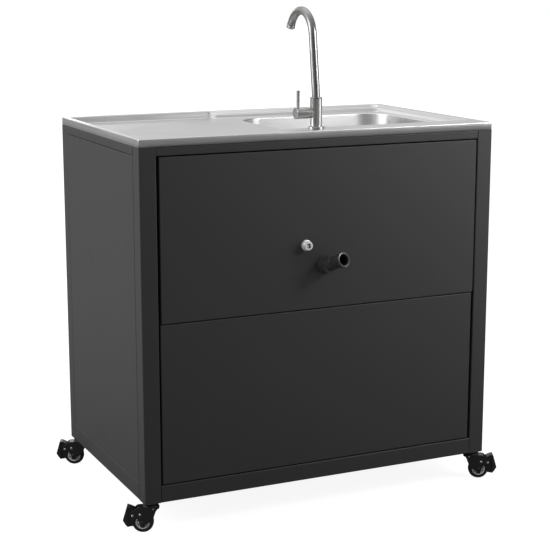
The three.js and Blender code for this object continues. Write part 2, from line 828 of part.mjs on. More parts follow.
function casterFork() {
  const outer = forkInner + forkPlate;
  const head = rod([0, 0, headTop - 5], [0, 0, headTop], 18.5, 16);
  const crown = block(-17, 30, -outer, outer, headTop - 8, headTop - 4);
  const near = plateAcross(forkPlateOutline(), -outer, -forkInner);
  const far = plateAcross(forkPlateOutline(), forkInner, outer);
  const outside = outer + 2.5;
  const axle = rod([wheelX, -outside, wheelZ], [wheelX, outside, wheelZ], 3, 10);
  const pin = rod([pedalPivot.x, -outer - 1, pedalPivot.z], [pedalPivot.x, outer + 1, pedalPivot.z], 2, 8);
  return union(head, crown, near, far, axle, pin);
}

function casterTyre() {
  const half = caster.wheelWidth / 2;
  const outer = caster.wheelRadius;
  return turned([
    [16.5, -half],
    [outer - 3, -half],
    [outer, -half + 4],
    [outer, half - 4],
    [outer - 3, half],
    [16.5, half],
  ], 24)
    .rotate([90, 0, 0])
    .translate([wheelX, 0, wheelZ]);
}

function casterHub() {
  const half = caster.wheelWidth / 2;
  return turned([
    [caster.bore, -half - 0.8],
    [7, -half - 0.8],
    [11, -half + 2.5],
    [16.2, -half + 0.4],
    [16.2, half - 0.4],
    [11, half - 2.5],
    [7, half + 0.8],
    [caster.bore, half + 0.8],
  ])
    .rotate([90, 0, 0])
    .translate([wheelX, 0, wheelZ]);
}

// The pedal turns about a pin between the fork's ears and hangs behind the wheel; its toe, which is wider
// than the fork, is pressed down to brake.
function brakePedal() {
  const { x, z } = pedalPivot;
  const halfBody = forkInner - 0.6;
  const halfToe = 14;
  const body = plateAcross(
    [
      [x - 5, z + 14],
      [x - 6, z + 6],
      [x - 2.8, z - 3.2],
      [x + 5, z - 6],
      [x + 10, z - 6],
      [x + 10, z + 18],
      [x + 6, z + 19],
    ],
    -halfBody,
    halfBody,
  );
  const toe = plateAcross(
    [
      [x + 9, z - 6],
      [x + 8, z - 15],
      [x + 6, z - 26],
      [x + 9, z - 29],
      [x + 15, z - 22],
      [x + 21, z - 12],
      [x + 16, z + 6],
      [x + 12, z + 19],
      [x + 9, z + 19],
    ],
    -halfToe,
    halfToe,
  );
  const pinHole = rod([x, -halfBody - 1, z], [x, halfBody + 1, z], 2.3, 8);
  return body.add(toe).subtract(pinHole);
}

for (const [place, sideX, sideY] of [
  ["rear_left", -1, -1],
  ["rear_right", 1, -1],
  ["front_left", -1, 1],
  ["front_right", 1, 1],
]) {
  const group = new THREE.Group();
  group.position.set(sideX * (halfWidth - caster.inset), sideY * (halfDepth - caster.inset), 0);
  group.rotation.z = radians(sideX < 0 ? casterYaws.left : casterYaws.right);
  group.add(piece(`caster_stem_${place}`, casterStem(), zinc));
  group.add(piece(`caster_fork_${place}`, casterFork(), blackSteel));
  group.add(piece(`caster_tyre_${place}`, casterTyre(), rubber));
  group.add(piece(`caster_hub_${place}`, casterHub(), greyPlastic));
  group.add(piece(`brake_pedal_${place}`, brakePedal(), blackPlastic));
  cabinet.add(group);
}

const root = new THREE.Group();
root.add(cabinet);

export default root;
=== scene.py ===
"""The looks of a wheeled sink cabinet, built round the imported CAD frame.

Shapes are written in millimetres in the cabinet's own coordinates, which are the frame's but for a setback
along Y, and turned into metres when a piece is made.
"""

import math

import bmesh
import bpy
from mathutils import Matrix, Vector
from mathutils.geometry import delaunay_2d_cdt


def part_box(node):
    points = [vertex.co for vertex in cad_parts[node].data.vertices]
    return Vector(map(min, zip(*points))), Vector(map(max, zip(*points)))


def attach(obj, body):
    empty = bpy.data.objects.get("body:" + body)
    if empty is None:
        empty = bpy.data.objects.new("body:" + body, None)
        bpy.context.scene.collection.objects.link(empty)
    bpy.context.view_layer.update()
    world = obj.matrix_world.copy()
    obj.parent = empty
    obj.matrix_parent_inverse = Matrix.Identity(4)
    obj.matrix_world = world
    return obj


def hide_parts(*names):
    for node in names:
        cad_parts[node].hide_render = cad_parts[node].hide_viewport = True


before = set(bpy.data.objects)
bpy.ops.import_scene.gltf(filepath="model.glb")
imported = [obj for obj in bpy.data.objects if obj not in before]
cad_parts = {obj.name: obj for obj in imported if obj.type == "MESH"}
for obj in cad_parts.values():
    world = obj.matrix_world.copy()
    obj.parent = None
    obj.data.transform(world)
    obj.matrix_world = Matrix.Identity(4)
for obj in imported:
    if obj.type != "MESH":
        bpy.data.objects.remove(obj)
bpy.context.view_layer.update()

HALF_WIDTH = 450
HALF_DEPTH = 280
WORKTOP = 900
FRAME_TOP = 882
FRAME_BOTTOM = 72
POST = 40
RAIL_DEPTH = 20
BOTTOM_RAIL_TOP = 112
TOP_RAIL_BOTTOM = 862
CLEARANCE = 0.3
CORNERS = [("rear_left", -1, -1), ("rear_right", 1, -1), ("front_left", -1, 1), ("front_right", 1, 1)]
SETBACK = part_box("post_rear_left")[0].y * 1000 + HALF_DEPTH
TO_FRAME = Matrix.Translation((0, SETBACK / 1000, 0)) @ Matrix.Scale(0.001, 4)
WHITE = (1, 1, 1, 1)


# ---------------------------------------------------------------- materials
class Nodes:
    """A node tree in the making: a call adds a node, its inputs in a dict and its settings as keywords."""

    def __init__(self, tree):
        self.tree = tree

    def __call__(self, kind, inputs=None, **settings):
        node = self.tree.nodes.new("ShaderNode" + kind)
        for key, value in settings.items():
            setattr(node, key, value)
        for key, value in (inputs or {}).items():
            self.feed(node.inputs[key], value)
        return node

    def feed(self, socket, value):
        if isinstance(value, bpy.types.NodeSocket):
            self.tree.links.new(value, socket)
        else:
            socket.default_value = value


class Recipe(Nodes):
    """A material built round one Principled BSDF."""

    def __init__(self, name):
        self.material = bpy.data.materials.new(name)
        self.material.use_nodes = True
        super().__init__(self.material.node_tree)
        self.surface = self.tree.nodes["Principled BSDF"]
        self.coord = self("TexCoord").outputs["Object"]

    def noise(self, scale, detail=2.0, rough=0.5, stretch=None):
        vector = self.coord
        if stretch:
            vector = self("Mapping", {"Vector": vector, "Scale": stretch}).outputs["Vector"]
        inputs = {"Vector": vector, "Scale": scale, "Detail": detail, "Roughness": rough}
        return self("TexNoise", inputs).outputs["Fac"]

    def remap(self, value, low, high, start=0.3, stop=0.7):
        inputs = {"Value": value, "From Min": start, "From Max": stop, "To Min": low, "To Max": high}
        return self("MapRange", inputs).outputs["Result"]

    def mix(self, factor, first, second):
        """Mixes two colours, which are a Mix node's sixth and seventh inputs."""
        return self("Mix", {"Factor": factor, 6: first, 7: second}, data_type="RGBA").outputs[2]

    def math(self, operation, first, second=0.0):
        return self("Math", {0: first, 1: second}, operation=operation).outputs[0]

    def edges(self, radius):
        """1 along convex and concave edges, 0 on flats."""
        rounded = self("Bevel", {"Radius": radius}, samples=4).outputs["Normal"]
        normal = self("NewGeometry").outputs["Normal"]
        dot = self("VectorMath", {0: rounded, 1: normal}, operation="DOT_PRODUCT")
        away = self.math("SUBTRACT", 1.0, dot.outputs["Value"])
        return self.remap(away, 0.0, 1.0, 0.002, 0.12)

    def bump(self, height, strength, distance):
        inputs = {"Height": height, "Strength": strength, "Distance": distance}
        return self("Bump", inputs).outputs["Normal"]

    def finish(self, **inputs):
        for key, value in inputs.items():
            self.feed(self.surface.inputs[key.replace("_", " ")], value)
        return self.material


def grey(level, warm=0.0):
    return (level * (1 + warm), level, level * (1 - warm), 1)


def powder_coat(name, level, rough=0.5):
    """Satin powder coat: orange peel, faint mottling, and a painted highlight that makes the edges a little
    lighter.
    """
    r = Recipe(name)
    mottled = r.remap(r.noise(5, 2), 0.0, 1.0)
    speckle = r.remap(r.noise(1400, 1), 0.0, 1.0)
    paint = r.mix(mottled, grey(level * 0.98), grey(level * 1.02))
    paint = r.mix(r.math("MULTIPLY", speckle, 0.12), paint, grey(level * 1.7))
    # painted highlight: the edges are painted lighter in patches, as if light were catching the folded sheet
    edge_mask = r.math("MULTIPLY", r.edges(0.0012), r.remap(r.noise(70, 4, 0.7), 0.1, 0.55))
    paint = r.mix(edge_mask, paint, grey(level * 1.7))
    peel = r.math("ADD", r.noise(520, 2), r.math("MULTIPLY", r.noise(1500, 1), 0.5))
    return r.finish(
        Base_Color=paint,
        Roughness=r.remap(r.noise(26, 4), rough - 0.008, rough + 0.008),
        Specular_IOR_Level=0.5,
        Normal=r.bump(peel, 0.16, 0.0003),
    )


def brushed(name, level, rough, stretch, grain=0.05, smudge=0.05, warm=0.0):
    """Satin metal whose grain runs along the axis with the smallest stretch."""
    r = Recipe(name)
    streaks = r.noise(1, 4, 0.65, stretch)
    cloud = r.noise(7, 3)
    tone = r.math("ADD", r.remap(streaks, -0.05, 0.05), r.remap(cloud, -0.03, 0.03))
    metal = r.mix(r.math("ADD", tone, 0.5), grey(level * 0.9, warm), grey(level * 1.08, warm))
    edge_mask = r.edges(0.001)
    roughness = r.remap(streaks, rough - 0.05, rough + 0.05)
    roughness = r.math("ADD", roughness, r.remap(cloud, -smudge, smudge))
    roughness = r.math("SUBTRACT", roughness, r.math("MULTIPLY", edge_mask, 0.08))
    return r.finish(
        Base_Color=metal,
        Metallic=1.0,
        Roughness=roughness,
        Normal=r.bump(streaks, grain, 0.0002),
    )


def moulded(name, level, rough, warm=0.0, grain=1100, depth=0.1, edge=1.5):
    """Moulded plastic or rubber with a fine spark-eroded grain."""
    r = Recipe(name)
    mottled = r.remap(r.noise(40, 3), 0.0, 1.0)
    plastic = r.mix(mottled, grey(level * 0.9, warm), grey(level * 1.1, warm))
    # the edges are painted lighter in patches, `edge` times the plastic's tone
    edge_mask = r.math("MULTIPLY", r.edges(0.0006), r.remap(r.noise(160, 4, 0.7), 0.1, 0.6))
    plastic = r.mix(edge_mask, plastic, grey(min(level * edge + 0.01, 0.95), warm))
    return r.finish(
        Base_Color=plastic,
        Roughness=r.remap(r.noise(90, 3), rough - 0.06, rough + 0.06),
        Normal=r.bump(r.noise(grain, 2), depth, 0.0002),
    )


frame_coat = powder_coat("frame_powder_coat", 0.026)
panel_coat = powder_coat("panel_powder_coat", 0.028)
caster_coat = powder_coat("caster_black_coat", 0.006, 0.36)
sink_steel = brushed("sink_satin_steel", 0.64, 0.36, (5, 900, 900))
turned_steel = brushed("turned_satin_steel", 0.62, 0.24, (700, 700, 60))
bar_steel = brushed("bar_satin_steel", 0.6, 0.26, (900, 900, 9))
tap_nickel = brushed("tap_satin_nickel", 0.46, 0.24, (600, 600, 12), 0.015, 0.01, 0.01)
# painted shade: a darker copy of the tap's nickel, which tones down the lights' reflections on the spout
spout_nickel_shaded = brushed("spout_nickel_painted_darker", 0.29, 0.31, (240, 240, 12), 0.01, 0.01, 0.01)
zinc_plate = brushed("bright_zinc", 0.55, 0.3, (160, 160, 160), 0.06, 0.06)
spigot_zinc = brushed("spigot_bright_plate", 0.95, 0.55, (300, 300, 300), 0.05, 0.04)
pipe_steel = brushed("pipe_stainless", 0.6, 0.28, (500, 500, 20))
black_plastic = moulded("black_plastic", 0.012, 0.42)
outlet_plastic = moulded("outlet_black_plastic", 0.045, 0.3)
pedal_plastic = moulded("pedal_black_nylon", 0.007, 0.36, edge=3)
tyre_rubber = moulded("tyre_rubber", 0.009, 0.6, grain=700, depth=0.2, edge=2)
hub_plastic = moulded("hub_grey_plastic", 0.72, 0.42, 0.03, edge=1.1)
white_plastic = moulded("white_plastic", 0.78, 0.3, 0.01, depth=0.05, edge=1.05)
# painted shade: a near-black finish for the plugs set inside the bores, where there is only shade
painted_bore_shade = moulded("painted_bore_shade", 0.004, 0.7)


# ---------------------------------------------------------------- shapes
def rounded(points, closed=True, steps=4):
    """Rounds the corners of a 2D polyline: each point is (u, v) or (u, v, radius)."""
    out = []
    count = len(points)
    for i, point in enumerate(points):
        here = Vector(point[:2])
        radius = point[2] if len(point) > 2 else 0
        if radius <= 0 or (not closed and i in (0, count - 1)):
            out.append(here)
            continue
        before = Vector(points[i - 1][:2]) - here
        after = Vector(points[(i + 1) % count][:2]) - here
        half = before.angle(after) / 2
        cut = min(radius / math.tan(half), before.length * 0.49, after.length * 0.49)
        arc = cut * math.tan(half)
        start = here + before.normalized() * cut
        end = here + after.normalized() * cut
        centre = here + (before.normalized() + after.normalized()).normalized() * math.hypot(cut, arc)
        first, last = start - centre, end - centre
        swing = first.angle_signed(last)
        for k in range(steps + 1):
            turn = -swing * k / steps
            out.append(centre + Matrix.Rotation(turn, 2) @ first)
    return [(p.x, p.y) for p in out]


def rounded_rect(x0, x1, y0, y1, radius, steps=6, sides=1):
    """A rounded rectangle, counter-clockwise from its right side, with `sides` spans on each straight."""
    ring = []
    corners = [(x1, y1), (x0, y1), (x0, y0), (x1, y0)]
    for i, (cx, cy) in enumerate(corners):
        ox = cx - math.copysign(radius, cx - (x0 + x1) / 2)
        oy = cy - math.copysign(radius, cy - (y0 + y1) / 2)
        for k in range(steps + 1):
            angle = (i + k / steps) * math.pi / 2
            ring.append(Vector((ox + radius * math.cos(angle), oy + radius * math.sin(angle))))
    if sides == 1:
        return [(p.x, p.y) for p in ring]
    out = []
    for i, point in enumerate(ring):
        out.append(point)
        if i % (steps + 1) == steps:
            following = ring[(i + 1) % len(ring)]
            out += [point.lerp(following, k / sides) for k in range(1, sides)]
    return [(p.x, p.y) for p in out]


def loft(bm, rings, wrap=False, caps=(False, False)):
    """Faces between closed rings of equal length. `wrap` joins the last ring to the first."""
    made = [[bm.verts.new(point) for point in ring] for ring in rings]
    count = len(rings[0])
    for r in range(len(rings) if wrap else len(rings) - 1):
        low, high = made[r], made[(r + 1) % len(rings)]
        for i in range(count):
            j = (i + 1) % count
            bm.faces.new((low[i], low[j], high[j], high[i]))
    if caps[0]:
        bm.faces.new(list(reversed(made[0])))
    if caps[1]:
        bm.faces.new(made[-1])
    return bm


def lathe(bm, profile, origin=(0, 0, 0), axis=(0, 0, 1), segments=48, closed=True):
    """Turns (radius, height) points about an axis. A closed profile is a ring-shaped solid's section."""
    turn = Vector((0, 0, 1)).rotation_difference(Vector(axis)).to_matrix()
    rings = []
    for radius, height in profile:
        ring = []
        for k in range(segments):
            angle = 2 * math.pi * k / segments
            local = Vector((radius * math.cos(angle), radius * math.sin(angle), height))
            ring.append(Vector(origin) + turn @ local)
        rings.append(ring)
    return loft(bm, rings, wrap=closed)


def turned(bm, points, origin=(0, 0, 0), axis=(0, 0, 1), segments=48, steps=4):
    """A solid turned from a run of (radius, height, corner radius) points, open where it meets its axis."""
    return lathe(bm, rounded(points, False, steps), origin, axis, segments, closed=False)


def sweep(bm, path, radius, sides=32, bore=0):
    """A round tube along points; `radius` is a number or one number for each point."""
    path = [Vector(p) for p in path]
    radii = radius if isinstance(radius, (list, tuple)) else [radius] * len(path)
    tangents = []
    for i in range(len(path)):
        ahead = path[min(i + 1, len(path) - 1)] - path[max(i - 1, 0)]
        tangents.append(ahead.normalized())
    seed = Vector((1, 0, 0)) if abs(tangents[0].x) < 0.9 else Vector((0, 1, 0))
    side = (seed - tangents[0] * seed.dot(tangents[0])).normalized()
    frames = []
    for i, tangent in enumerate(tangents):
        if i:
            side = tangents[i - 1].rotation_difference(tangent) @ side
            side = (side - tangent * side.dot(tangent)).normalized()
        frames.append((side.copy(), tangent.cross(side)))

    def ring(i, r):
        u, v = frames[i]
        angles = [2 * math.pi * k / sides for k in range(sides)]
        return [path[i] + (u * math.cos(a) + v * math.sin(a)) * r for a in angles]

    rings = [ring(i, r) for i, r in enumerate(radii)]
    if bore:
        inner = [ring(i, bore) for i in reversed(range(len(path)))]
        return loft(bm, rings + inner, wrap=True)
    return loft(bm, rings, caps=(True, True))


def rod(bm, start, end, radius, sides=32, chamfer=0.5):
    """A straight round bar with softened ends."""
    start, end = Vector(start), Vector(end)
    along = (end - start).normalized()
    path = [start, start + along * chamfer * 0.3, start + along * chamfer]
    path += [end - along * chamfer, end - along * chamfer * 0.3, end]
    edge = [radius - chamfer, radius - chamfer * 0.3, radius]
    return sweep(bm, path, edge + edge[::-1], sides)


def box(bm, x0, x1, y0, y1, z0, z1):
    ring = [(x0, y0), (x1, y0), (x1, y1), (x0, y1)]
    return loft(bm, [[(x, y, z) for x, y in ring] for z in (z0, z1)], caps=(True, True))


def lying(u, v, w):
    """An outline in X and Y with its thickness along Z."""
    return (u, v, w)


def standing(u, v, w):
    """An outline in X and Z with its thickness along Y."""
    return (u, w, v)


def along_x(u, v, w):
    """An outline in Y and Z with its length along X."""
    return (w, u, v)


def plate(bm, outline, low, high, place=lying):
    """A flat outline with thickness; `place` puts (u, v, w) in the cabinet."""
    return loft(bm, [[place(u, v, w) for u, v in outline] for w in (low, high)], caps=(True, True))


def cheeks(bm, outline, near, far):
    """An upright plate on each side of Y = 0, between two distances from it."""
    for side in (-1, 1):
        plate(bm, outline, *sorted((side * near, side * far)), standing)
    return bm


def tube(bm, place, u0, u1, v0, v1, w0, w1, radius=3, wall=1.5):
    """A rectangular tube with rounded corners, open at both ends."""
    outer = rounded_rect(u0, u1, v0, v1, radius, 5)
    inner = rounded_rect(u0 + wall, u1 - wall, v0 + wall, v1 - wall, max(radius - wall, 0.3), 5)
    soft = 0.25
    middle_u, middle_v = (u0 + u1) / 2, (v0 + v1) / 2

    def shrunk(ring, amount):
        half_u, half_v = (u1 - u0) / 2, (v1 - v0) / 2
        ku, kv = 1 - amount / half_u, 1 - amount / half_v
        return [(middle_u + (u - middle_u) * ku, middle_v + (v - middle_v) * kv) for u, v in ring]

    edge = shrunk(outer, soft)
    stations = [(edge, w0), (outer, w0 + soft), (outer, w1 - soft), (edge, w1), (inner, w1), (inner, w0)]
    return loft(bm, [[place(u, v, w) for u, v in ring] for ring, w in stations], wrap=True)


def piece(name, bm, body, material, replaces=(), bevel=0.0, sharp=35, transform=None, segments=2):
    """Makes a mesh piece from millimetres and rides it on its body."""
    if transform is not None:
        bm.transform(transform)
    bmesh.ops.remove_doubles(bm, verts=bm.verts, dist=0.002)
    bmesh.ops.recalc_face_normals(bm, faces=bm.faces)
    bm.transform(TO_FRAME)
    mesh = bpy.data.meshes.new(name)
    bm.to_mesh(mesh)
    bm.free()
    mesh.shade_smooth()
    if not bevel:
        mesh.set_sharp_from_angle(angle=math.radians(sharp))
    obj = bpy.data.objects.new(name, mesh)
    bpy.context.scene.collection.objects.link(obj)
    materials = material if isinstance(material, (list, tuple)) else [material]
    for one in materials:
        mesh.materials.append(one)
    if bevel:
        add_bevel(obj, bevel, segments)
    else:
        add_flat_faces(obj)
    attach(obj, body)
    if replaces:
        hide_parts(*replaces)
    return obj


def add_flat_faces(obj):
    """Large faces keep their own normals, and only the small ones at their edges shade round."""
    weighted = obj.modifiers.new("flat_faces", "WEIGHTED_NORMAL")
    weighted.weight = 100
    weighted.keep_sharp = True


def add_bevel(obj, width, segments=2):
    soft = obj.modifiers.new("soft_edges", "BEVEL")
    soft.width = width / 1000
    soft.segments = segments
    soft.limit_method = "ANGLE"
    soft.angle_limit = math.radians(40)
    soft.harden_normals = True


# ---------------------------------------------------------------- frame
for place, sx, sy in CORNERS:
    half, plug = POST / 2, POST / 2 - 2
    cx, cy = sx * (HALF_WIDTH - half), sy * (HALF_DEPTH - half)
    walls = (cx - half, cx + half, cy - half, cy + half)
    bm = tube(bmesh.new(), lying, *walls, FRAME_BOTTOM, FRAME_TOP - CLEARANCE, 2.6)
    foot = rounded_rect(cx - plug, cx + plug, cy - plug, cy + plug, 1.2, 3)
    plate(bm, foot, FRAME_BOTTOM + 0.2, FRAME_BOTTOM + 3)
    piece(f"post_{place}", bm, "cabinet", frame_coat, [f"post_{place}"])

RAIL_LEVELS = [("bottom", FRAME_BOTTOM, BOTTOM_RAIL_TOP), ("top", TOP_RAIL_BOTTOM, FRAME_TOP - CLEARANCE)]
for place, put, half_length, half_span, side in [
    ("rear", along_x, HALF_WIDTH, HALF_DEPTH, -1),
    ("front", along_x, HALF_WIDTH, HALF_DEPTH, 1),
    ("left", standing, HALF_DEPTH, HALF_WIDTH, -1),
    ("right", standing, HALF_DEPTH, HALF_WIDTH, 1),
]:
    reach = half_length - POST - CLEARANCE
    low, high = sorted((side * half_span, side * (half_span - RAIL_DEPTH)))
    for level, z0, z1 in RAIL_LEVELS:
        bm = tube(bmesh.new(), put, low, high, z0, z1, -reach, reach, 2)
        name = f"{place}_{level}_rail"
        piece(name, bm, "cabinet", frame_coat, [name])


# ---------------------------------------------------------------- panels and doors
def pan(bm, u0, u1, v0, v1, face, depth, sheet=1.2, bend=1.6, corner=0.8, side=-1):
    """A tray folded from sheet: its face looks along side * Y, its edges are turned in by `depth`."""

    def ring(inset, back, radius):
        outline = rounded_rect(u0 + inset, u1 - inset, v0 + inset, v1 - inset, max(radius, 0.2), 3)
        return [(u, face - side * back, v) for u, v in outline]

    arc = [math.radians(a) for a in (0, 22.5, 45, 67.5, 90)]
    outer, inner = [], []
    for a in arc:
        inward, back = 1 - math.cos(a), 1 - math.sin(a)
        outer.append(ring(bend * inward, bend * back, corner + bend * inward))
        inner.append(ring(sheet + (bend - sheet) * inward, sheet + (bend - sheet) * back, corner))
    outer_lip, inner_lip = ring(0, depth, corner), ring(sheet, depth, corner)
    loft(bm, [outer_lip] + outer, caps=(False, True))
    loft(bm, inner[::-1] + [inner_lip], caps=(True, False))
    return loft(bm, [inner_lip, outer_lip])


def hooked(bm, u0, u1, v1, face):
    """The flange that stands up behind the top rail."""
    behind = face + RAIL_DEPTH + CLEARANCE
    return box(bm, u0, u1, behind, behind + 1.2, v1 - 1.2, v1 + 14)


INNER_X, INNER_Y = HALF_WIDTH - POST, HALF_DEPTH - POST
TRAY_DEPTH = 20.5
REAR_SPLIT = 486
upper = (-INNER_X + 6.5, INNER_X - 3, REAR_SPLIT + 1, 859.5)
lower = (-INNER_X + 4, INNER_X - 6.5, 114.5, REAR_SPLIT - 1)
bm = pan(bmesh.new(), *upper, -HALF_DEPTH, TRAY_DEPTH)
hooked(bm, upper[0], upper[1], upper[3], -HALF_DEPTH)
piece("rear_panel_upper", bm, "cabinet", panel_coat, ["rear_panel_upper"])
bm = pan(bmesh.new(), *lower, -HALF_DEPTH, TRAY_DEPTH)
piece("rear_panel_lower", bm, "cabinet", panel_coat, ["rear_panel_lower"])

for place, turn in [("left", -90), ("right", 90)]:
    span = (-INNER_Y + 0.7, INNER_Y - 0.7, 112.8, 861.2)
    bm = pan(bmesh.new(), *span, -HALF_WIDTH, TRAY_DEPTH)
    hooked(bm, span[0], span[1], span[3], -HALF_WIDTH)
    name = f"side_panel_{place}"
    spin = Matrix.Rotation(math.radians(turn), 4, "Z")
    piece(name, bm, "cabinet", panel_coat, [name], transform=spin)

HINGE_X, HINGE_Y = INNER_X - 1, HALF_DEPTH + 4
DOOR_Z = (115, 859)
HINGE_LEVELS = [("lower", DOOR_Z[0] + 90), ("upper", DOOR_Z[1] - 90)]
LEAF_TOP = HALF_DEPTH + 1.9
HANDLE = {"x": 34, "z": 640, "half": 64, "bar": HALF_DEPTH + 25, "radius": 5}


def screw_head(bm, x, z, radius=2.6):
    """A small pan-head screw on a hinge leaf."""
    head = [(0, 1.3), (radius * 0.7, 1.1, 0.8), (radius, 0.3, 0.3), (radius, -0.6), (0, -0.6)]
    turned(bm, head, (x, LEAF_TOP, z), (0, 1, 0), 20, 3)


def leaf(bm, side, x0, x1, z0, z1, y0):
    """Half of a hinge: its plate and its knuckle."""
    low, high = sorted((side * x0, side * x1))
    outline = rounded([(low, z0, 1.5), (high, z0, 1.5), (high, z1, 1.5), (low, z1, 1.5)], True, 3)
    plate(bm, outline, y0, LEAF_TOP, standing)
    rod(bm, (side * HINGE_X, HINGE_Y, z0), (side * HINGE_X, HINGE_Y, z1), 4, 28, 0.4)
    return bm


for place, side in [("left", -1), ("right", 1)]:
    for level, z in HINGE_LEVELS:
        bm = leaf(bmesh.new(), side, HINGE_X, INNER_X + 24, z - 22, z - 0.15, HALF_DEPTH + CLEARANCE)
        rod(bm, (side * HINGE_X, HINGE_Y, z - 1), (side * HINGE_X, HINGE_Y, z + 24), 1.8, 16, 0.3)
        for dz in (-16.5, -5.5):
            screw_head(bm, side * (INNER_X + 14), z + dz)
        name = f"hinge_{place}_{level}"
        piece(name, bm, "cabinet", zinc_plate, [name])

    outer = INNER_X - 3
    u0, u1 = (1.5, outer) if side > 0 else (-outer, -1.5)
    bm = pan(bmesh.new(), u0, u1, *DOOR_Z, HALF_DEPTH - CLEARANCE, 18, side=1)
    piece(f"door_{place}", bm, f"{place}_door", panel_coat, [f"door_{place}"])
    for level, z in HINGE_LEVELS:
        bm = leaf(bmesh.new(), side, outer - 22, HINGE_X, z + 0.15, z + 22, HALF_DEPTH - CLEARANCE)
        for dz in (5.5, 16.5):
            screw_head(bm, side * (outer - 15), z + dz)
        piece(f"door_leaf_{place}_{level}", bm, f"{place}_door", zinc_plate)

    x = side * HANDLE["x"]
    bm = bmesh.new()
    tips = HANDLE["half"] + 12
    ends = [(x, HANDLE["bar"], HANDLE["z"] + dz) for dz in (-tips, tips)]
    rod(bm, *ends, HANDLE["radius"], 40, 0.8)
    for dz in (-HANDLE["half"], HANDLE["half"]):
        foot = [(0, 0), (6.5, 0), (6.5, 2, 0.8), (4, 3.2, 2), (4, 24), (0, 24)]
        turned(bm, foot, (x, HALF_DEPTH - CLEARANCE, HANDLE["z"] + dz), (0, 1, 0), 32)
    piece(f"door_handle_{place}", bm, f"{place}_door", bar_steel, [f"door_handle_{place}"])


# ---------------------------------------------------------------- sink top and bowl
DECK = 883.5
LEDGE = 893
RIM_X, RIM_Y = HALF_WIDTH - 14, HALF_DEPTH - 14
NEAR_WALL = -HALF_DEPTH + 69
RECESS_R = 22
LEDGE_X, LEDGE_Y, LEDGE_START = RIM_X - 9, RIM_Y - 26, -57
LEDGE_END_R, LEDGE_CORNER_R = 18, 22
BOWL = {"x": 200, "y": 13.5, "hx": 212, "hy": 198.5, "r": 75, "floor": 716}
EDGE_R = 4


def box_distance(x, y, x0, x1, y0, y1, radius):
    qx = abs(x - (x0 + x1) / 2) - (x1 - x0) / 2 + radius
    qy = abs(y - (y0 + y1) / 2) - (y1 - y0) / 2 + radius
    return math.hypot(max(qx, 0), max(qy, 0)) + min(max(qx, qy), 0) - radius


def ease(t):
    t = min(max(t, 0.0), 1.0)
    return t * t * (3 - 2 * t)


def ledge_distance(x, y):
    """How far a point is outside the raised ledges along the far and right edges."""
    cx, cy = LEDGE_X - LEDGE_CORNER_R, LEDGE_Y - LEDGE_CORNER_R
    if x > cx and y > cy:
        return LEDGE_CORNER_R - math.hypot(x - cx, y - cy)
    far = box_distance(x, y, LEDGE_START, 2000, LEDGE_Y, 1000, LEDGE_END_R)
    return min(far, LEDGE_X - x)


def deck_height(x, y):
    inside = -box_distance(x, y, -RIM_X, RIM_X, NEAR_WALL, RIM_Y, RECESS_R)
    low = DECK + (LEDGE - DECK) * ease((8 - ledge_distance(x, y)) / 9)
    return WORKTOP - (WORKTOP - low) * ease((inside + 1.5) / 10)


def bowl_outline(inset):
    radius = BOWL["r"] - inset * (0.7 if inset > 0 else 1)
    hx, hy = BOWL["hx"] - inset, BOWL["hy"] - inset
    return rounded_rect(BOWL["x"] - hx, BOWL["x"] + hx, BOWL["y"] - hy, BOWL["y"] + hy, radius, 16, 10)


def waste_circle(radius):
    ring = []
    for x, y in bowl_outline(0):
        angle = math.atan2((y - BOWL["y"]) / BOWL["hy"], (x - BOWL["x"]) / BOWL["hx"])
        ring.append((BOWL["x"] + radius * math.cos(angle), BOWL["y"] + radius * math.sin(angle)))
    return ring


def add_deck(bm):
    """The pressed sheet between the slab's edge and the bowl, triangulated along its own press lines."""
    points, edges = [], []

    def line(run, closed):
        start = len(points)
        points.extend(Vector(p) for p in run)
        last = len(run) if closed else len(run) - 1
        edges.extend((start + i, start + (i + 1) % len(run)) for i in range(last))

    line(rounded_rect(-HALF_WIDTH + 2, HALF_WIDTH - 2, -HALF_DEPTH + 2, HALF_DEPTH - 2, 2.5, 6, 30), True)
    line(bowl_outline(-EDGE_R), True)
    for k in range(11):
        d = k - 1.5
        line(rounded_rect(-RIM_X + d, RIM_X - d, NEAR_WALL + d, RIM_Y - d, RECESS_R - d, 14, 12), True)
    cx, cy = LEDGE_X - LEDGE_CORNER_R, LEDGE_Y - LEDGE_CORNER_R
    sx, sy = LEDGE_START + LEDGE_END_R, LEDGE_Y + LEDGE_END_R
    for k in range(10):
        e = k - 1
        run = [(LEDGE_START - e, RIM_Y - 1)]
        for a in range(180, 271, 9):
            turn = math.radians(a)
            run.append((sx + (LEDGE_END_R + e) * math.cos(turn), sy + (LEDGE_END_R + e) * math.sin(turn)))
        run += [(sx + (cx - sx) * i / 12, LEDGE_Y - e) for i in range(1, 12)]
        radius = LEDGE_CORNER_R - e
        for a in range(90, -1, -9):
            turn = math.radians(a)
            run.append((cx + radius * math.cos(turn), cy + radius * math.sin(turn)))
        run += [(LEDGE_X - e, cy + (NEAR_WALL + 1 - cy) * i / 10) for i in range(1, 11)]
        run = [p for p in run if p[1] < RIM_Y]
        line(run, False)
    flat, _, triangles, *_ = delaunay_2d_cdt(points, edges, [], 0, 1e-4)
    verts = [bm.verts.new((p.x, p.y, deck_height(p.x, p.y))) for p in flat]
    hole = [BOWL["x"] - BOWL["hx"], BOWL["x"] + BOWL["hx"], BOWL["y"] - BOWL["hy"], BOWL["y"] + BOWL["hy"]]
    for triangle in triangles:
        cx = sum(flat[i].x for i in triangle) / 3
        cy = sum(flat[i].y for i in triangle) / 3
        if box_distance(cx, cy, *hole, BOWL["r"]) > EDGE_R - 0.02:
            bm.faces.new([verts[i] for i in triangle])
    return bm


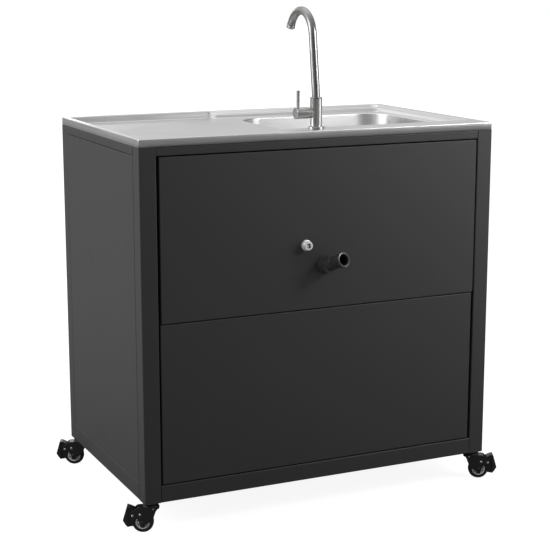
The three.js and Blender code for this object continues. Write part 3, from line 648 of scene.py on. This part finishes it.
def add_slab_edge(bm):
    rings = []
    for a in range(0, 91, 15):
        turn = math.radians(a)
        inset = 2 * (1 - math.sin(turn))
        outline = rounded_rect(
            -HALF_WIDTH + inset,
            HALF_WIDTH - inset,
            -HALF_DEPTH + inset,
            HALF_DEPTH - inset,
            2.5 + 2 - inset,
            6,
            30,
        )
        rings.append([(x, y, WORKTOP - 2 * (1 - math.cos(turn))) for x, y in outline])
    rings.append([(x, y, FRAME_TOP + 0.3) for x, y, _ in rings[-1]])
    return loft(bm, rings)


def add_bowl(bm):
    rings = []
    for a in range(0, 91, 15):
        turn = math.radians(a)
        outline = bowl_outline(-EDGE_R * (1 - math.sin(turn)))
        rings.append([(x, y, DECK - EDGE_R * (1 - math.cos(turn))) for x, y in outline])
    floor = BOWL["floor"]
    wall = rounded([(0, DECK - EDGE_R), (12.5, floor + 3, 34), (60, floor + 4.5)], False, 10)
    for inset, z in wall[1:]:
        rings.append([(x, y, z) for x, y in bowl_outline(inset)])
    last_inset, last_z = wall[-1]
    broad, narrow = bowl_outline(last_inset), waste_circle(43)
    for k in range(1, 9):
        t = k / 8
        z = last_z + (floor + 1 - last_z) * t
        rings.append([(x + (u - x) * t, y + (v - y) * t, z) for (x, y), (u, v) in zip(broad, narrow)])
    rings.append([(x, y, floor - 0.6) for x, y in waste_circle(41)])
    rings.append([(x, y, floor - 1.0) for x, y in waste_circle(36)])
    return loft(bm, rings)


bm = add_deck(bmesh.new())
add_slab_edge(bm)
add_bowl(bm)
sink = piece("sink_top_and_bowl", bm, "cabinet", sink_steel, ["sink_top", "sink_bowl"], sharp=60)
thick = sink.modifiers.new("sheet_thickness", "SOLIDIFY")
thick.thickness = 0.0011
thick.offset = -1


# ---------------------------------------------------------------- waste, basket and trap
# heights here are above or below the bowl's floor
waste_profile = rounded(
    [(33, 2.4, 0.5), (36, 2.6, 0.5), (42, 1.6, 0.5), (42, 0.9), (35, 0.4), (35, -1.6), (44, -1.6, 0.5)]
    + [(44, -12, 1), (36, -14, 1), (36, -32, 3), (20, -44, 3), (20, -62), (17, -62), (17, -42, 3)]
    + [(33, -30, 3)]
)
WASTE = (BOWL["x"], BOWL["y"], BOWL["floor"])
bm = lathe(bmesh.new(), waste_profile, WASTE)
piece("waste_body", bm, "cabinet", turned_steel, ["waste_body"])


def perforated_disc(bm, z, thickness, radius, rows):
    """A round plate with rows of round holes: rows are (ring radius, count)."""
    points, edges, holes = [], [], []

    def circle(cx, cy, r, count):
        start = len(points)
        for k in range(count):
            angle = 2 * math.pi * k / count
            points.append(Vector((cx + r * math.cos(angle), cy + r * math.sin(angle))))
            edges.append((start + k, start + (k + 1) % count))

    circle(0, 0, radius, 64)
    for ring, count in rows:
        for k in range(count):
            angle = 2 * math.pi * (k + 0.5) / count
            holes.append((ring * math.cos(angle), ring * math.sin(angle)))
    for hx, hy in holes:
        circle(hx, hy, 1.6, 12)
    flat, _, triangles, *_ = delaunay_2d_cdt(points, edges, [], 0, 1e-5)
    kept = []
    for triangle in triangles:
        cx = sum(flat[i].x for i in triangle) / 3
        cy = sum(flat[i].y for i in triangle) / 3
        if all(math.hypot(cx - hx, cy - hy) > 1.5 for hx, hy in holes):
            kept.append(triangle)
    x0, y0, z0 = WASTE
    top = [bm.verts.new((x0 + p.x, y0 + p.y, z0 + z)) for p in flat]
    low = [bm.verts.new((x0 + p.x, y0 + p.y, z0 + z - thickness)) for p in flat]
    open_edges = {}
    for a, b, c in kept:
        bm.faces.new((top[a], top[b], top[c]))
        bm.faces.new((low[c], low[b], low[a]))
        for start, end in ((a, b), (b, c), (c, a)):
            if (end, start) in open_edges:
                del open_edges[(end, start)]
            else:
                open_edges[(start, end)] = True
    for a, b in open_edges:
        bm.faces.new((top[b], top[a], low[a], low[b]))
    loose = [v for v in bm.verts if not v.link_faces]
    bmesh.ops.delete(bm, geom=loose, context="VERTS")
    return bm


bm = perforated_disc(bmesh.new(), -22.8, 1.0, 26, [(8.5, 8), (14.5, 14), (20.5, 20)])
cup = rounded(
    [(25.4, -23.8), (26.4, -23.8, 0.8), (30.4, 1.4, 1.5), (32.4, 2.2, 0.4)]
    + [(32.4, 3, 0.4), (29.2, 3, 1), (25.2, -22.6)],
    True,
    3,
)
lathe(bm, cup, WASTE)
knob = [(0, -24), (4, -24), (2.6, -18, 3), (2.6, -3, 2), (6.8, 1, 1.5), (6.8, 3.6, 1.2)]
knob += [(3, 4.8, 2), (0, 4.9)]
turned(bm, knob, WASTE, segments=32)
piece("strainer_basket", bm, "strainer", turned_steel, ["strainer_basket"])

OUTLET_Z = 589
TRAP_TOP = Vector((BOWL["x"], BOWL["y"], BOWL["floor"] - 54))
TRAP_OUT = OUTLET_Z + 22
TRAP_HEADING = math.radians(-140)


def from_trap(length):
    """A point along the trap's outlet arm."""
    ahead, aside = length * math.cos(TRAP_HEADING), length * math.sin(TRAP_HEADING)
    return Vector((BOWL["x"] + ahead, BOWL["y"] + aside, TRAP_OUT))


def ribbed_nut(bm, centre, axis, radius, height, ribs=18):
    """A hand nut: a turned ring with raised grips."""
    turn = Vector((0, 0, 1)).rotation_difference(Vector(axis)).to_matrix()
    rings = []
    for z, shrink in [(0, 1), (0.8, 0), (height - 0.8, 0), (height, 1)]:
        ring = []
        for k in range(ribs * 6):
            angle = 2 * math.pi * k / (ribs * 6)
            wave = max(0.0, math.cos(angle * ribs)) ** 0.6 * 1.3
            r = radius - 1.3 + wave - shrink
            ring.append(Vector(centre) + turn @ Vector((r * math.cos(angle), r * math.sin(angle), z)))
        rings.append(ring)
    return loft(bm, rings, caps=(True, True))


bottle = [(0, -112), (20, -112, 3), (29, -104, 5), (29, -20, 1), (27, 0, 1), (20.4, 0), (20.4, -16)]
bottle += [(26, -22), (26, -106, 4), (0, -108)]
bm = turned(bmesh.new(), bottle, TRAP_TOP)
ribbed_nut(bm, TRAP_TOP - Vector((0, 0, 44)), (0, 0, 1), 33, 18)
ribbed_nut(bm, TRAP_TOP - Vector((0, 0, 14)), (0, 0, 1), 30, 13)
arm_axis = (from_trap(1) - from_trap(0)).normalized()
sweep(bm, [from_trap(length) for length in (27.5, 45, 58)], 16, 40, 13.2)
ribbed_nut(bm, from_trap(38), arm_axis, 22, 16, 14)
piece("bottle_trap", bm, "cabinet", white_plastic, ["bottle_trap"])


def catmull(points, per_span=10):
    """A smooth run through points: centripetal Catmull-Rom, which the pipes in the frame follow."""
    knots = [Vector(p) for p in points]
    knots = [knots[0] * 2 - knots[1]] + knots + [knots[-1] * 2 - knots[-2]]
    out = []
    for i in range(1, len(knots) - 2):
        p0, p1, p2, p3 = knots[i - 1 : i + 3]
        d01 = math.sqrt((p1 - p0).length)
        d12 = math.sqrt((p2 - p1).length)
        d23 = math.sqrt((p3 - p2).length)
        t1 = ((p1 - p0) / d01 - (p2 - p0) / (d01 + d12) + (p2 - p1) / d12) * d12
        t2 = ((p2 - p1) / d12 - (p3 - p1) / (d12 + d23) + (p3 - p2) / d23) * d12
        for k in range(per_span):
            t = k / per_span
            a = 2 * p1 - 2 * p2 + t1 + t2
            b = -3 * p1 + 3 * p2 - 2 * t1 - t2
            out.append(a * t**3 + b * t**2 + t1 * t + p1)
    return out + [knots[-2]]


REAR = -HALF_DEPTH
OUTLET = Vector((2, REAR, OUTLET_Z))
INLET = Vector((-48, REAR, OUTLET_Z + 50))
SPIGOT_LENGTH = 34
SPIGOT_END = REAR + SPIGOT_LENGTH
OUTWARDS = Vector((0, -1, 0))
arm_end = from_trap(58.8)
waste_route = [
    arm_end,
    arm_end + Vector((-20, -17, 0)),
    arm_end + Vector((-70, -62, -12)),
    (OUTLET.x + 22, SPIGOT_END + 78, OUTLET.z + 2),
    (OUTLET.x, SPIGOT_END + 22, OUTLET.z),
    (OUTLET.x, SPIGOT_END + 0.8, OUTLET.z),
]
bm = sweep(bmesh.new(), catmull(waste_route), 16, 32, 13)
ribbed_nut(bm, arm_end, arm_axis, 22, 14, 14)
ribbed_nut(bm, (OUTLET.x, SPIGOT_END + 16, OUTLET.z), OUTWARDS, 22, 14, 14)
piece("waste_pipe", bm, "cabinet", black_plastic, ["waste_pipe"])

# ---------------------------------------------------------------- drain outlet and water inlet
slant, droop = math.radians(15), math.radians(-18)
STUB = Matrix.Rotation(slant, 3, "Z") @ Matrix.Rotation(droop, 3, "X") @ OUTWARDS
outlet_flange = [(0, 0.3), (21.5, 0.3), (21.5, 3, 0.8), (19.6, 8, 2.5), (17, 19, 6), (16, 24), (0, 24)]
bm = turned(bmesh.new(), outlet_flange, OUTLET, OUTWARDS, 64, 5)
stub_profile = rounded(
    [(12.7, 66.6), (14.6, 68, 0.6), (17.4, 67.6, 0.7), (17.4, 62.4, 0.7), (16, 61, 0.5), (16, 33, 0.5)]
    + [(17, 32, 0.4), (17, 29, 0.4), (16, 28), (15.6, 8), (12.7, 8)]
)
lathe(bm, stub_profile, OUTLET, STUB, 64)
neck = [(0, 9.6), (19.4, 9.6, 1.5), (18.6, 18, 4), (16.4, 30, 3), (16, 34), (0, 34)]
turned(bm, neck, OUTLET, STUB, 64, 5)
rod(bm, OUTLET - OUTWARDS * 1.6, OUTLET - OUTWARDS * 12, 23, 6, 1)
rod(bm, OUTLET - OUTWARDS, OUTLET - OUTWARDS * SPIGOT_LENGTH, 16, 40, 0.6)
piece("drain_outlet", bm, "cabinet", outlet_plastic, ["drain_outlet"])
# painted shade: a near-black cup closes the stub's bore, where the open pipe is dark only from shade
bm = lathe(bmesh.new(), [(12.6, 64), (12.6, 20), (0, 20)], OUTLET, STUB, 40, closed=False)
piece("drain_bore_painted_shade", bm, "cabinet", painted_bore_shade)

THREAD_PITCH = 1.9
thread = []
for k in range(6):
    z = 14.8 - k * THREAD_PITCH
    thread += [(10.4, z), (9.5, z - THREAD_PITCH / 2)]
inlet_profile = [(6, 16), (9.9, 16), *thread, (9.6, 3.9), (12.5, 3.4), (12.5, 0.3), (10, 0.3), (10, -1.5)]
inlet_profile += [(14, -1.5), (14, -8), (10, -9), (10, -20), (7, -22), (7, -34), (4, -34), (4, -2), (6, 0)]
bm = lathe(bmesh.new(), inlet_profile, INLET, OUTWARDS)
middle = INLET + OUTWARDS * 11
for arm in (Vector((6, 0, 0)), Vector((0, 0, 6))):
    rod(bm, middle - arm, middle + arm, 1.1, 8, 0.1)
piece("water_inlet", bm, "cabinet", spigot_zinc, ["water_inlet"])
# painted shade: a near-black disc a little way inside the inlet's bore, where there is only shade
bm = lathe(bmesh.new(), [(5.9, 6), (5.9, 2), (0, 2)], INLET, OUTWARDS, 32, closed=False)
piece("inlet_bore_painted_shade", bm, "cabinet", painted_bore_shade)

TAP = Vector((0, -232, WORKTOP + 0.3))
SHANK_END = WORKTOP - 52
supply_route = [
    (INLET.x, SPIGOT_END + 0.8, INLET.z),
    (INLET.x, SPIGOT_END + 20, INLET.z),
    (INLET.x + 6, SPIGOT_END + 52, INLET.z + 34),
    (INLET.x + 22, SPIGOT_END + 50, INLET.z + 90),
    (TAP.x - 8, TAP.y + 22, INLET.z + 142),
    (TAP.x, TAP.y, SHANK_END - 26),
    (TAP.x, TAP.y, SHANK_END - 0.8),
]
bm = sweep(bmesh.new(), catmull(supply_route, 12), 6, 24)
rod(bm, (TAP.x, TAP.y, SHANK_END - 16), (TAP.x, TAP.y, SHANK_END - 1), 9.5, 6, 0.8)
rod(bm, (INLET.x, SPIGOT_END + 1, INLET.z), (INLET.x, SPIGOT_END + 14, INLET.z), 9.5, 6, 0.8)
piece("supply_pipe", bm, "cabinet", pipe_steel, ["supply_pipe"])

# ---------------------------------------------------------------- tap
tap_flange = rounded(
    [(11.5, 4.4), (14, 6, 1.6), (17.8, 5, 1.5), (19.2, 3.4, 1.2), (19.2, 0, 0.3)]
    + [(13, 0), (13, -50), (9, -50), (9, 4.4)],
    True,
    5,
)
bm = lathe(bmesh.new(), tap_flange, TAP, segments=64)
turned(bm, [(0, 3), (14, 3), (14, 68, 0.2), (11, 68), (0, 68)], TAP, segments=64)
LEVER_AXIS = TAP + Vector((0, 0, 36))
turned(bm, [(0, 12.2), (11.6, 12.2), (11.6, 21.7, 0.3), (0, 21.7)], LEVER_AXIS, (-1, 0, 0), 56)
piece("tap_body", bm, "cabinet", tap_nickel, ["tap_body"])

lever_knob = [(0, 22.3), (13.2, 22.3, 0.6), (13.2, 53.5, 1), (0, 53.5)]
bm = turned(bmesh.new(), lever_knob, LEVER_AXIS, (-1, 0, 0), 56, 5)
pin_foot = LEVER_AXIS + Vector((-46, 0, 7))
pin_tip = LEVER_AXIS + Vector((-46, -1.5, 52))
pin_length = (pin_tip - pin_foot).length
pin = [(0, 0), (3.7, 0), (4.6, pin_length, 0.6), (0, pin_length)]
turned(bm, pin, pin_foot, pin_tip - pin_foot, 32)
piece("tap_lever", bm, "lever", tap_nickel, ["tap_lever"])

LEAN = math.radians(7.6)
BEND, SPOUT_R, SWEEP = 60, 9.5, 145
RISE_START, RISE_STOP = 70, 205
rise_from = TAP + Vector((0, 0, RISE_START))
rise_length = (RISE_STOP - RISE_START + BEND * math.sin(LEAN)) / math.cos(LEAN)
rise_to = rise_from + Vector((0, math.sin(LEAN), math.cos(LEAN))) * rise_length
bend_centre = rise_to + Vector((0, math.cos(LEAN), -math.sin(LEAN))) * BEND


def on_bend(angle):
    turn = math.pi - LEAN - math.radians(angle)
    return bend_centre + Vector((0, math.cos(turn), math.sin(turn))) * BEND


path = [rise_from.lerp(rise_to, k / 16) for k in range(16)]
path += [on_bend(angle) for angle in range(0, SWEEP + 1, 5)]
bm = sweep(bmesh.new(), path, SPOUT_R, 56, 7.5)
collar = rounded([(7.5, 68.3), (13.8, 68.3, 0.2), (13.8, 71.2, 0.7), (7.5, 71.2)], True, 4)
lathe(bm, collar, TAP, segments=56)
lathe(bm, [(6, 58), (10.9, 58), (10.9, 70), (6, 70)], TAP, segments=40)
# painted shade: the spout wears the darker copy of the tap's nickel
piece("spout", bm, "spout", spout_nickel_shaded, ["spout"])

tip = on_bend(SWEEP)
heading = (on_bend(SWEEP) - on_bend(SWEEP - 1)).normalized()
aerator = rounded(
    [(8.2, 9.4), (9.9, 9.6, 0.6), (10.4, 8.4, 0.4), (10.4, 3.4, 0.2), (9.9, 3.1), (9.9, 2.5)]
    + [(10.4, 2.2, 0.2), (10.4, 0.7, 0.4), (8.2, 0.5)],
    True,
    3,
)
bm = lathe(bmesh.new(), aerator, tip, heading, 48)
piece("aerator", bm, "spout", tap_nickel, ["aerator"])
bm = lathe(bmesh.new(), [(0, 7.6), (8.3, 7.6), (8.3, 4), (0, 4)], tip, heading, 32, closed=False)
piece("aerator_insert", bm, "spout", black_plastic)

# ---------------------------------------------------------------- casters
TRAIL, WHEEL_R, WHEEL_W = 18, 25, 19
HEAD_TOP = FRAME_BOTTOM - 5.4
FORK_IN = WHEEL_W / 2 + 1.6
FORK_OUT = FORK_IN + 2
PIVOT_X, PIVOT_Z = 42, 43
WHEEL_CENTRE = (TRAIL, 0, WHEEL_R)
AXLE = (0, 1, 0)


def dome(bm, x, y, z, side, radius, height=1.4):
    """A rivet's head on the fork's side."""
    profile = [(radius * math.cos(a), height * math.sin(a)) for a in (0, 0.35, 0.7, 1.05, 1.3)]
    turned(bm, [(radius, -0.8), *profile, (0, height)], (x, y, z), (0, side, 0), 20)


def caster_fork(bm):
    crown = [(-20, -13, 9), (24, -13, 5), (30, -10, 3), (30, 10, 3), (24, 13, 5), (-20, 13, 9)]
    plate(bm, rounded(crown, True, 5), HEAD_TOP - 9.5, HEAD_TOP - 5)
    side_plate = [(-18, HEAD_TOP - 6, 1), (-12, 51, 6), (-7, 36, 6), (0, 27, 5)]
    side_plate += [(TRAIL - 6, 21, 3), (TRAIL - 5, 13.4, 3), (TRAIL + 5, 13.4, 3), (TRAIL + 6.5, 22, 3)]
    side_plate += [(28.5, 34, 7), (PIVOT_X - 1, PIVOT_Z - 5.5, 3), (PIVOT_X + 4.6, PIVOT_Z - 3.6, 3)]
    side_plate += [(PIVOT_X + 5, PIVOT_Z + 4, 4), (31, HEAD_TOP - 6, 1)]
    return cheeks(bm, rounded(side_plate, True, 5), FORK_IN, FORK_OUT)


def caster_head(bm):
    head = [(0, -6), (17.6, -6, 1), (18.5, -3.4, 1.2), (18.5, -1.6, 1.2), (16, 0, 1), (0, 0)]
    return turned(bm, head, (0, 0, HEAD_TOP))


def caster_rivets(bm):
    for side in (-1, 1):
        dome(bm, PIVOT_X - 1.5, side * FORK_OUT, PIVOT_Z - 1, side, 2.9)
        dome(bm, 23.5, side * FORK_OUT, 44.5, side, 3.1)
        dome(bm, -7, side * FORK_OUT, HEAD_TOP - 8.5, side, 2.5)
    rod(bm, (PIVOT_X, -FORK_OUT, PIVOT_Z), (PIVOT_X, FORK_OUT, PIVOT_Z), 2, 16, 0.2)
    return bm


def caster_axle(bm):
    bolt = [(0, 2.6), (3, 2.6, 0.6), (5, 1.4, 0.8), (5, -0.5), (0, -0.5)]
    for side in (-1, 1):
        turned(bm, bolt, (TRAIL, side * FORK_OUT, WHEEL_R), (0, side, 0), 6, 3)
    rod(bm, (TRAIL, -FORK_OUT, WHEEL_R), (TRAIL, FORK_OUT, WHEEL_R), 3, 20, 0.2)
    return bm


def caster_stem(bm):
    """The race under the post, and the plug that stands up into it."""
    low = HEAD_TOP - FRAME_BOTTOM
    race = [(0, low + 0.3), (15, low + 0.3, 0.5), (17.6, low + 1.8, 0.8), (18, -1.6, 0.5), (18, -0.3, 0.3)]
    race += [(5, -0.3), (5, 18, 1), (0, 19)]
    return turned(bm, race, (0, 0, FRAME_BOTTOM))


def caster_tyre(bm):
    half = WHEEL_W / 2
    face = [(16.6, half - 0.6), (WHEEL_R - 5, half, 1.5), (WHEEL_R - 1, half - 2.4, 2.5)]
    face += [(WHEEL_R, half - 5.5, 3)]
    section = [(r, -y, *corner) for r, y, *corner in face] + face[::-1]
    return lathe(bm, rounded(section, True, 5), WHEEL_CENTRE, AXLE, 80)


def caster_hub(bm):
    half = WHEEL_W / 2
    rim = [(13.6, half - 2.2), (13.6, half - 0.9, 0.4), (16.3, half - 0.3, 0.6)]
    rim = [(r, -y, *corner) for r, y, *corner in rim] + rim[::-1]
    lathe(bm, rounded(rim, True, 3), WHEEL_CENTRE, AXLE, 64)
    lathe(bm, [(3.4, -2), (14, -2), (14, 2), (3.4, 2)], WHEEL_CENTRE, AXLE)
    end = half + 0.8
    boss = [(3.4, -end), (7, -end, 0.6), (7.4, 0), (7, end, 0.6), (3.4, end)]
    lathe(bm, rounded(boss, True, 3), WHEEL_CENTRE, AXLE, 32)
    for k in range(6):
        turn = Matrix.Rotation(math.radians(60 * k), 4, "Y")
        spoke = bmesh.new()
        outline = rounded([(6.5, -1.6), (14.2, -1.2), (14.2, 1.2), (6.5, 1.6)])
        plate(spoke, outline, -half + 1.6, half - 1.6, standing)
        spoke.transform(Matrix.Translation(WHEEL_CENTRE) @ turn)
        join(bm, spoke)
    return bm


def join(bm, other):
    """Adds another shape's faces to bm and frees it."""
    verts = {v: bm.verts.new(v.co) for v in other.verts}
    for face in other.faces:
        bm.faces.new([verts[v] for v in face.verts])
    other.free()
    return bm


def from_pivot(points, steps):
    """A rounded outline whose points are counted from the pedal's pivot."""
    return rounded([(PIVOT_X + x, PIVOT_Z + z, radius) for x, z, radius in points], True, steps)


def brake_pedal(bm):
    body = [(-5, 14, 2), (-6, 6, 3), (-2.8, -3.2, 2.5), (5, -6, 2), (11, -6, 1), (11, 18, 1), (6, 19, 2)]
    plate(bm, from_pivot(body, 4), -10.5, 10.5, standing)
    toe = [(9, -6, 2), (8, -15, 4), (6, -25, 3), (9, -28.6, 1.6), (15, -22, 4)]
    toe += [(21, -12, 2.4), (15.6, 6, 8), (12, 19, 1.4), (9, 19, 1.4)]
    plate(bm, from_pivot(toe, 5), -14, 14, standing)
    cheek = [(-6, -1, 2), (9, -1, 1), (9, -27.5, 1), (-1.5, -26.6, 2), (-6, -12, 4)]
    return cheeks(bm, from_pivot(cheek, 4), WHEEL_W / 2 + CLEARANCE, FORK_IN - CLEARANCE)


def pedal_ribs(bm):
    """Grip ribs across the toe."""
    start = Vector((PIVOT_X + 15, PIVOT_Z - 22))
    stop = Vector((PIVOT_X + 20.6, PIVOT_Z - 12.6))
    for k in range(4):
        at = start.lerp(stop, (k + 0.5) / 4)
        rod(bm, (at.x, -12.5, at.y), (at.x, 12.5, at.y), 0.7, 10, 0.3)
    return bm


CASTER_PIECES = [
    # name, shape, body, slot, material, whether it replaces a CAD node, bevel, bevel segments
    ("caster_stem", caster_stem, "cabinet", "caster_steel", caster_coat, True, 0, 0),
    ("caster_fork", caster_fork, "caster", "caster_steel", caster_coat, True, 0.5, 2),
    ("caster_head", caster_head, "caster", "caster_steel", caster_coat, False, 0, 0),
    ("caster_rivets", caster_rivets, "caster", "zinc", zinc_plate, False, 0, 0),
    ("caster_axle", caster_axle, "caster", "caster_steel", caster_coat, False, 0, 0),
    ("caster_tyre", caster_tyre, "wheel", "tyre_rubber", tyre_rubber, True, 0, 0),
    ("caster_hub", caster_hub, "wheel", "hub_plastic", hub_plastic, True, 0, 0),
    ("brake_pedal", brake_pedal, "brake", "black_plastic", pedal_plastic, True, 1.2, 3),
    ("pedal_ribs", pedal_ribs, "brake", "black_plastic", pedal_plastic, False, 0, 0),
]
for place, sx, sy in CORNERS:
    spot = Matrix.Translation((sx * (HALF_WIDTH - POST / 2), sy * (HALF_DEPTH - POST / 2), 0))
    placed = spot @ Matrix.Rotation(math.radians(155 if sx < 0 else -25), 4, "Z")
    for part, shape, body, slot, material, replaces, bevel, segments in CASTER_PIECES:
        name = f"{part}_{place}"
        rides = body if body == "cabinet" else f"{body}_{place}"
        cad = [name] if replaces else []
        bm = shape(bmesh.new())
        piece(name, bm, rides, material, cad, bevel, transform=placed, segments=segments)

# ---------------------------------------------------------------- CAD nodes that stay
for node, material in [("base_panel", panel_coat), ("magnet_catch", black_plastic), ("tap_nut", zinc_plate)]:
    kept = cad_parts[node]
    kept.data.materials.clear()
    kept.data.materials.append(material)

# ---------------------------------------------------------------- studio
scene = bpy.context.scene
scene.view_settings.view_transform = "Standard"

FLOOR_TONE = 0.22
FLOOR_GLOW = 0.91
FLOOR_REACH = 30
# painted light: the floor grows paler along each direction, from a start to a stop distance, up to a tone,
# as pools of light that bounce onto the object
FLOOR_PAINTED_LIGHT = [((-0.7, 0.7, 0), 0.8, 2.6, 0.45), ((0.6, -0.8, 0), 3.0, 5.0, 0.7)]


def floor_material():
    """A floor that the camera sees almost white, and that throws little light up at the object but for its
    painted light: parts painted paler that throw more.
    """
    r = Recipe("pale_floor")
    tone = r.mix(r.remap(r.noise(1.5, 2), 0.0, 1.0), grey(FLOOR_TONE), grey(FLOOR_TONE * 0.97))
    # painted pools of light: the floor is painted paler along these directions
    for towards, start, stop, lighter in FLOOR_PAINTED_LIGHT:
        along = r("VectorMath", {0: r.coord, 1: towards}, operation="DOT_PRODUCT").outputs["Value"]
        tone = r.mix(r.remap(along, 0.0, 1.0, start, stop), tone, grey(lighter))
    seen = r("LightPath").outputs["Is Camera Ray"]
    return r.finish(
        Base_Color=tone,
        Roughness=1.0,
        Specular_IOR_Level=0.0,
        Emission_Color=WHITE,
        Emission_Strength=r.math("MULTIPLY", seen, FLOOR_GLOW),
    )


floor_mesh = bpy.data.meshes.new("floor")
floor_corners = [(x * FLOOR_REACH, y * FLOOR_REACH, 0) for x, y in ((-1, -1), (1, -1), (1, 1), (-1, 1))]
floor_mesh.from_pydata(floor_corners, [], [(0, 1, 2, 3)])
floor_obj = bpy.data.objects.new("floor", floor_mesh)
floor_mesh.materials.append(floor_material())
scene.collection.objects.link(floor_obj)


class Sky(Nodes):
    """The studio's walls: plain white to the camera, and shaded by direction to everything else."""

    def __init__(self, base):
        scene.world = bpy.data.worlds.new("studio")
        scene.world.use_nodes = True
        super().__init__(scene.world.node_tree)
        self.tree.nodes.clear()
        self.direction = self("TexCoord").outputs["Generated"]
        self.total = base

    def glow(self, towards, strength, start, stop):
        """Adds light from the directions around `towards`, from cosine `start` up to `stop`."""
        ends = {0: self.direction, 1: Vector(towards).normalized()}
        cosine = self("VectorMath", ends, operation="DOT_PRODUCT").outputs["Value"]
        span = {"Value": cosine, "From Min": start, "From Max": stop, "To Min": 0.0, "To Max": strength}
        ramp = self("MapRange", span, interpolation_type="SMOOTHSTEP").outputs["Result"]
        self.total = self("Math", {0: self.total, 1: ramp}, operation="ADD").outputs[0]

    def close(self):
        shown = self("Background", {"Color": WHITE}).outputs["Background"]
        lit = self("Background", {"Strength": self.total}).outputs["Background"]
        seen = self("LightPath").outputs["Is Camera Ray"]
        either = self("MixShader", {"Fac": seen, 1: lit, 2: shown}).outputs["Shader"]
        self("OutputWorld", {"Surface": either})


sky = Sky(0.02)
sky.glow((0, 0, 1), 0.74, 0.0, 1.0)
sky.glow((0, 1, 0.25), 0.68, 0.0, 0.9)
sky.glow((-1, 0.1, 0.25), 0.44, 0.2, 0.9)
sky.close()


def softbox(name, at, to, size, power):
    light = bpy.data.lights.new(name, "AREA")
    light.shape = "RECTANGLE"
    light.size, light.size_y = size
    light.energy = power
    obj = bpy.data.objects.new(name, light)
    obj.location = at
    obj.rotation_euler = (Vector(to) - Vector(at)).to_track_quat("-Z", "Y").to_euler()
    obj.visible_camera = False
    scene.collection.objects.link(obj)


softbox("key_softbox", (1.1, -1.2, 1.5), (0.4, -0.2, 0.8), (0.42, 0.42), 11)
softbox("left_softbox", (-3.0, 0.3, 1.9), (-0.4, 0, 0.6), (1.6, 1.6), 46)
softbox("top_softbox", (0.3, 0.6, 3.2), (0, 0, 0.9), (2.4, 1.6), 8)
softbox("right_strip", (2.13, -1.49, 1.05), (0, 0, 1), (0.7, 1.9), 15)
softbox("left_strip", (-2.56, 0.45, 1.05), (0, 0, 1), (0.7, 1.9), 8)
softbox("back_strip", (0, 2.6, 1.05), (0, 0, 1), (0.7, 1.9), 7)

SENSOR_MM = 36
LENS_MM = 94.42473
camera = bpy.data.cameras.new("camera")
camera.sensor_width = SENSOR_MM
camera.lens = LENS_MM
camera_obj = bpy.data.objects.new("camera", camera)
scene.collection.objects.link(camera_obj)
yaw, pitch = math.radians(25.088), math.radians(11.749)
camera_obj.location = (-1.4925, -3.1978 + SETBACK / 1000, 1.2457)
camera_obj.rotation_euler = (math.pi / 2 - pitch, 0, -yaw)
scene.camera = camera_obj
